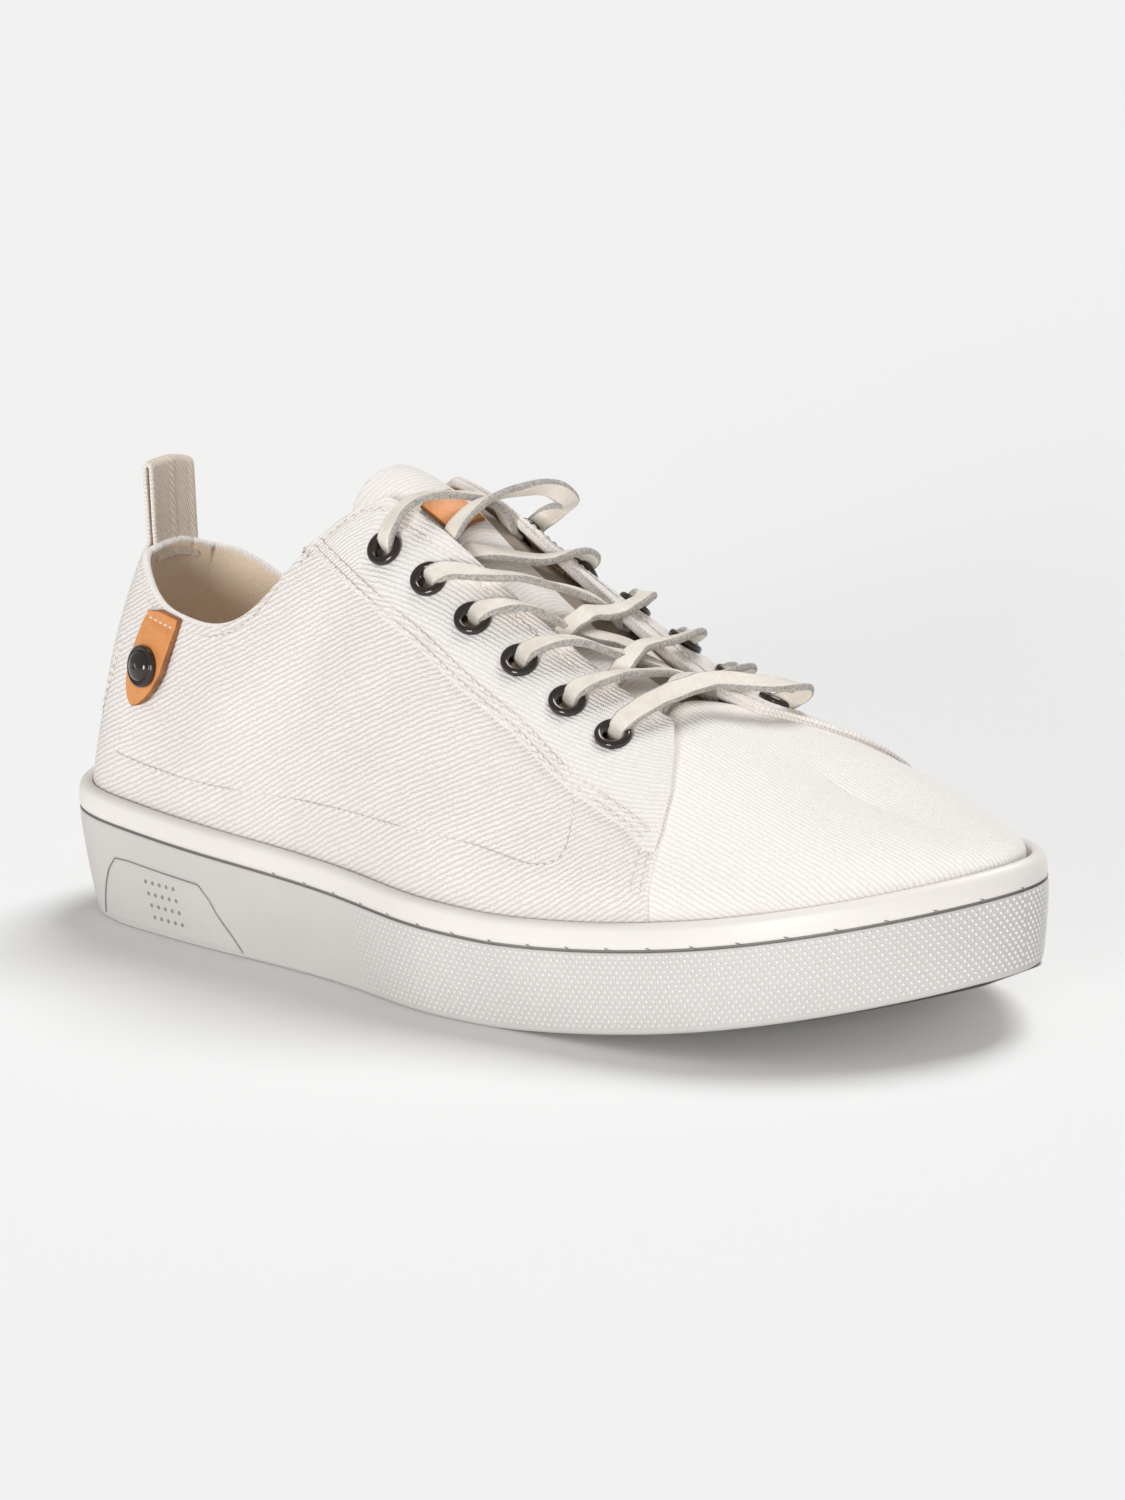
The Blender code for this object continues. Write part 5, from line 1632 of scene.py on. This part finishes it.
def heel_dots():
    """Rows of small studs moulded on the heel panel, coloured dark as painted shade."""
    q, walk = ring_places()
    outer = q < 0
    order = np.argsort(np.abs(walk[outer]))
    walks, stations = np.abs(walk[outer])[order], q[outer][order]
    profile = [(0.00002, -0.3 * MM), (0.55 * MM, -0.3 * MM), (0.55 * MM, 0.08 * MM),
               (0.40 * MM, 0.22 * MM), (0.2 * MM, 0.28 * MM), (0.00002, 0.3 * MM)]
    parts = []
    for i in range(HEEL_DOTS[0]):
        for j in range(HEEL_DOTS[1]):
            height = HEEL_DOT_START[1] - j * HEEL_DOT_PITCH[1]
            away = HEEL_DOT_START[0] + i * HEEL_DOT_PITCH[0] + 0.65 * j * MM
            here = np.array([np.interp(away, walks, stations)])
            groove = along_sole(RIM, outline(here)[:, 0]) - GROOVE_BELOW_RIM - GROOVE_WIDTH / 2
            level = (height - BOTTOM_EDGE) / (groove - BOTTOM_EDGE)
            spot, out = side_place(here, level, heel_panel(np.array([away]), level))
            parts.append((*turned(profile, 14, placed(spot[0], out[0])), 0))
    add_parts("heel_dots", parts, [groove_shade_rubber])
    panel_edge(walks, stations)


def panel_edge(walks, stations):
    """The fine dark line round the heel panel: a rod dark with painted shade for its groove."""
    route = [(end, level) for level, _, end in HEEL_PANEL] + [(HEEL_PANEL[-1][1] + 6, HEEL_PANEL_TOP)]
    route += [(start, level) for level, start, _ in reversed(HEEL_PANEL)]
    route = np.array(route)
    steps = np.linspace(0, len(route) - 1, 140)
    away = np.interp(steps, np.arange(len(route)), route[:, 0]) * MM
    level = np.interp(steps, np.arange(len(route)), route[:, 1])
    q = np.interp(away, walks, stations)
    line, out = side_place(q, level)
    points, faces = thin_rod(line - out * 0.05 * MM, out, 0.16 * MM)
    add_piece("heel_panel_line", points, faces, [groove_shade_rubber])


# Thread, frayed edges and footbed


def make_stitching(rows, loop_rows):
    """All light threads and their needle holes, as one piece."""
    parts = []
    for q, share, height in rows:
        parts += stitches(q, share, height - 0.13 * MM)
    paths = [(collar_row(side, 0.35, 4.1, 0.0026, 50), side) for side in (-1, 1)]
    paths += [([(station + ahead, share) for station, share in HEEL_STITCH], -1) for ahead in (0, 0.07)]
    for path, side in paths:
        parts += stitches(*on_skin(path, side), 0.0)
    for row in loop_rows:
        steps = np.linspace(0, len(row) - 1, 34)
        q, share = (np.interp(steps, np.arange(len(row)), row[:, k]) for k in (0, 1))
        parts += stitches(q, share, LOOP_GAP + LOOP_THICKNESS)
    add_parts("stitching", parts, [thread, needle_hole_shade])


def make_frays():
    """Loose yarn ends on the raw edges of the facings."""
    draw = random.Random(14)
    parts = []
    for side in (-1, 1):
        for station in np.arange(4.95, 8.32, 0.022):
            station += draw.uniform(-0.008, 0.008)
            q = float(side_q(station, side))
            share = float(SKIN.trim(q))
            depth = draw.uniform(-0.9, 0.5) * MM
            point = SKIN.at(q, share - 0.004, depth)
            inward = unit(SKIN.plain(q, share) - SKIN.plain(q, share - 0.02))
            out = SKIN.normal(q, share)
            bend = np.cross(inward, out) * draw.uniform(-0.9, 0.9) + out * draw.uniform(-0.7, 0.5)
            length = draw.uniform(0.7, 1.9) * MM
            line = np.array([point, point + inward * 0.55 * length + bend * 0.15 * length,
                             point + inward * 0.9 * length + bend * 0.6 * length])
            across = unit(np.cross(inward, bend + 1e-6))
            parts.append((*thin_rod(line, across, draw.uniform(0.09, 0.15) * MM, 4), 0))
    add_parts("frayed_yarn", parts, [white_thread])


def dress_footbed():
    """The insole stays as made in CAD, with woven cloth on it."""
    insole = bpy.data.objects["insole"]
    n = Nodes("footbed_cloth")
    place = n.add("ShaderNodeTexCoord").outputs["Object"]
    weave = n.add("ShaderNodeTexWave", wave_type="BANDS", bands_direction="DIAGONAL")
    weave.inputs["Scale"].default_value = 320
    weave.inputs["Distortion"].default_value = 2.0
    n.link(place, weave.inputs["Vector"])
    color = n.mix(weave.outputs["Fac"], (0.40, 0.32, 0.24), (0.60, 0.50, 0.40))
    n.bump(weave.outputs["Fac"], 0.0002)
    made = n.finish(color, 0.9, Specular_IOR_Level=0.2)
    insole.data.materials.clear()
    insole.data.materials.append(made)


# Floor, light and camera


# Lights: name, power, width in degrees and the direction they come from
LIGHTS = [
    ("window", 1.85, 30, (0.06, 0.70, 1.25)),
    ("reflector", 1.94, 22, (0.30, -0.95, 0.120)),
]
SKY_POWER = 0.40


def make_stage():
    """A plain pale floor, two soft lights and an even sky."""
    points = [(-6, -6, 0), (6, -6, 0), (6, 6, 0), (-6, 6, 0)]
    mesh = bpy.data.meshes.new("floor")
    mesh.from_pydata(points, [], [(0, 1, 2, 3)])
    n = Nodes("paper_floor")
    grain = n.noise(3, 2)
    color = n.mix(grain, (0.895, 0.895, 0.895), (0.905, 0.905, 0.905))
    mesh.materials.append(n.finish(color, 0.9, Specular_IOR_Level=0.1))
    floor = put("floor", mesh)
    for name, power, width, direction in LIGHTS:
        light = bpy.data.lights.new(name, "SUN")
        light.energy = power
        light.angle = radians(width)
        light_object = put(name, light)
        light_object.rotation_euler = Vector(direction).to_track_quat("Z", "Y").to_euler()
    world = bpy.data.worlds.new("studio")
    world.use_nodes = True
    world.node_tree.nodes["Background"].inputs["Color"].default_value = (1, 0.995, 0.985, 1)
    world.node_tree.nodes["Background"].inputs["Strength"].default_value = SKY_POWER
    bpy.context.scene.world = world
    bpy.context.scene.view_settings.view_transform = "Standard"


VIEW_TURN = radians(42.16)
VIEW_RISE = radians(15.39)
VIEW_ROLL = 0.046
VIEW_DISTANCE = 2.5
VIEW_LENS = 241.3
VIEW_TARGET = (-0.0062, 0.0132, 0.0507)


def make_camera():
    """The photo's angle, turned a little about the line of sight."""
    place = VIEW_DISTANCE * Vector((
        sin(VIEW_TURN) * cos(VIEW_RISE), -cos(VIEW_TURN) * cos(VIEW_RISE),
        sin(VIEW_RISE)))
    back = (place - Vector(VIEW_TARGET)).normalized()
    right = Vector((0, 0, 1)).cross(back).normalized()
    up = back.cross(right)
    c, s = cos(VIEW_ROLL), sin(VIEW_ROLL)
    right, up = right * c - up * s, up * c + right * s
    matrix = Matrix((right, up, back)).transposed().to_4x4()
    matrix.translation = place
    camera = bpy.data.cameras.new("camera")
    camera.lens = VIEW_LENS
    camera.sensor_width = 36
    camera.clip_end = 50
    camera_object = put("camera", camera)
    camera_object.matrix_world = matrix
    bpy.context.scene.camera = camera_object


SEAM_ROWS = seam_rows()
SEAMS.build()
make_cupsole()
dress_footbed()
make_quarters()
make_vamp()
for side in (-1, 1):
    make_eyestay(side)
make_tongue()
make_label()
make_eyelets()
make_laces()
LOOP_ROWS = make_pull_loop()
make_tab()
make_stitching(SEAM_ROWS, LOOP_ROWS)
make_frays()
make_stage()
make_camera()
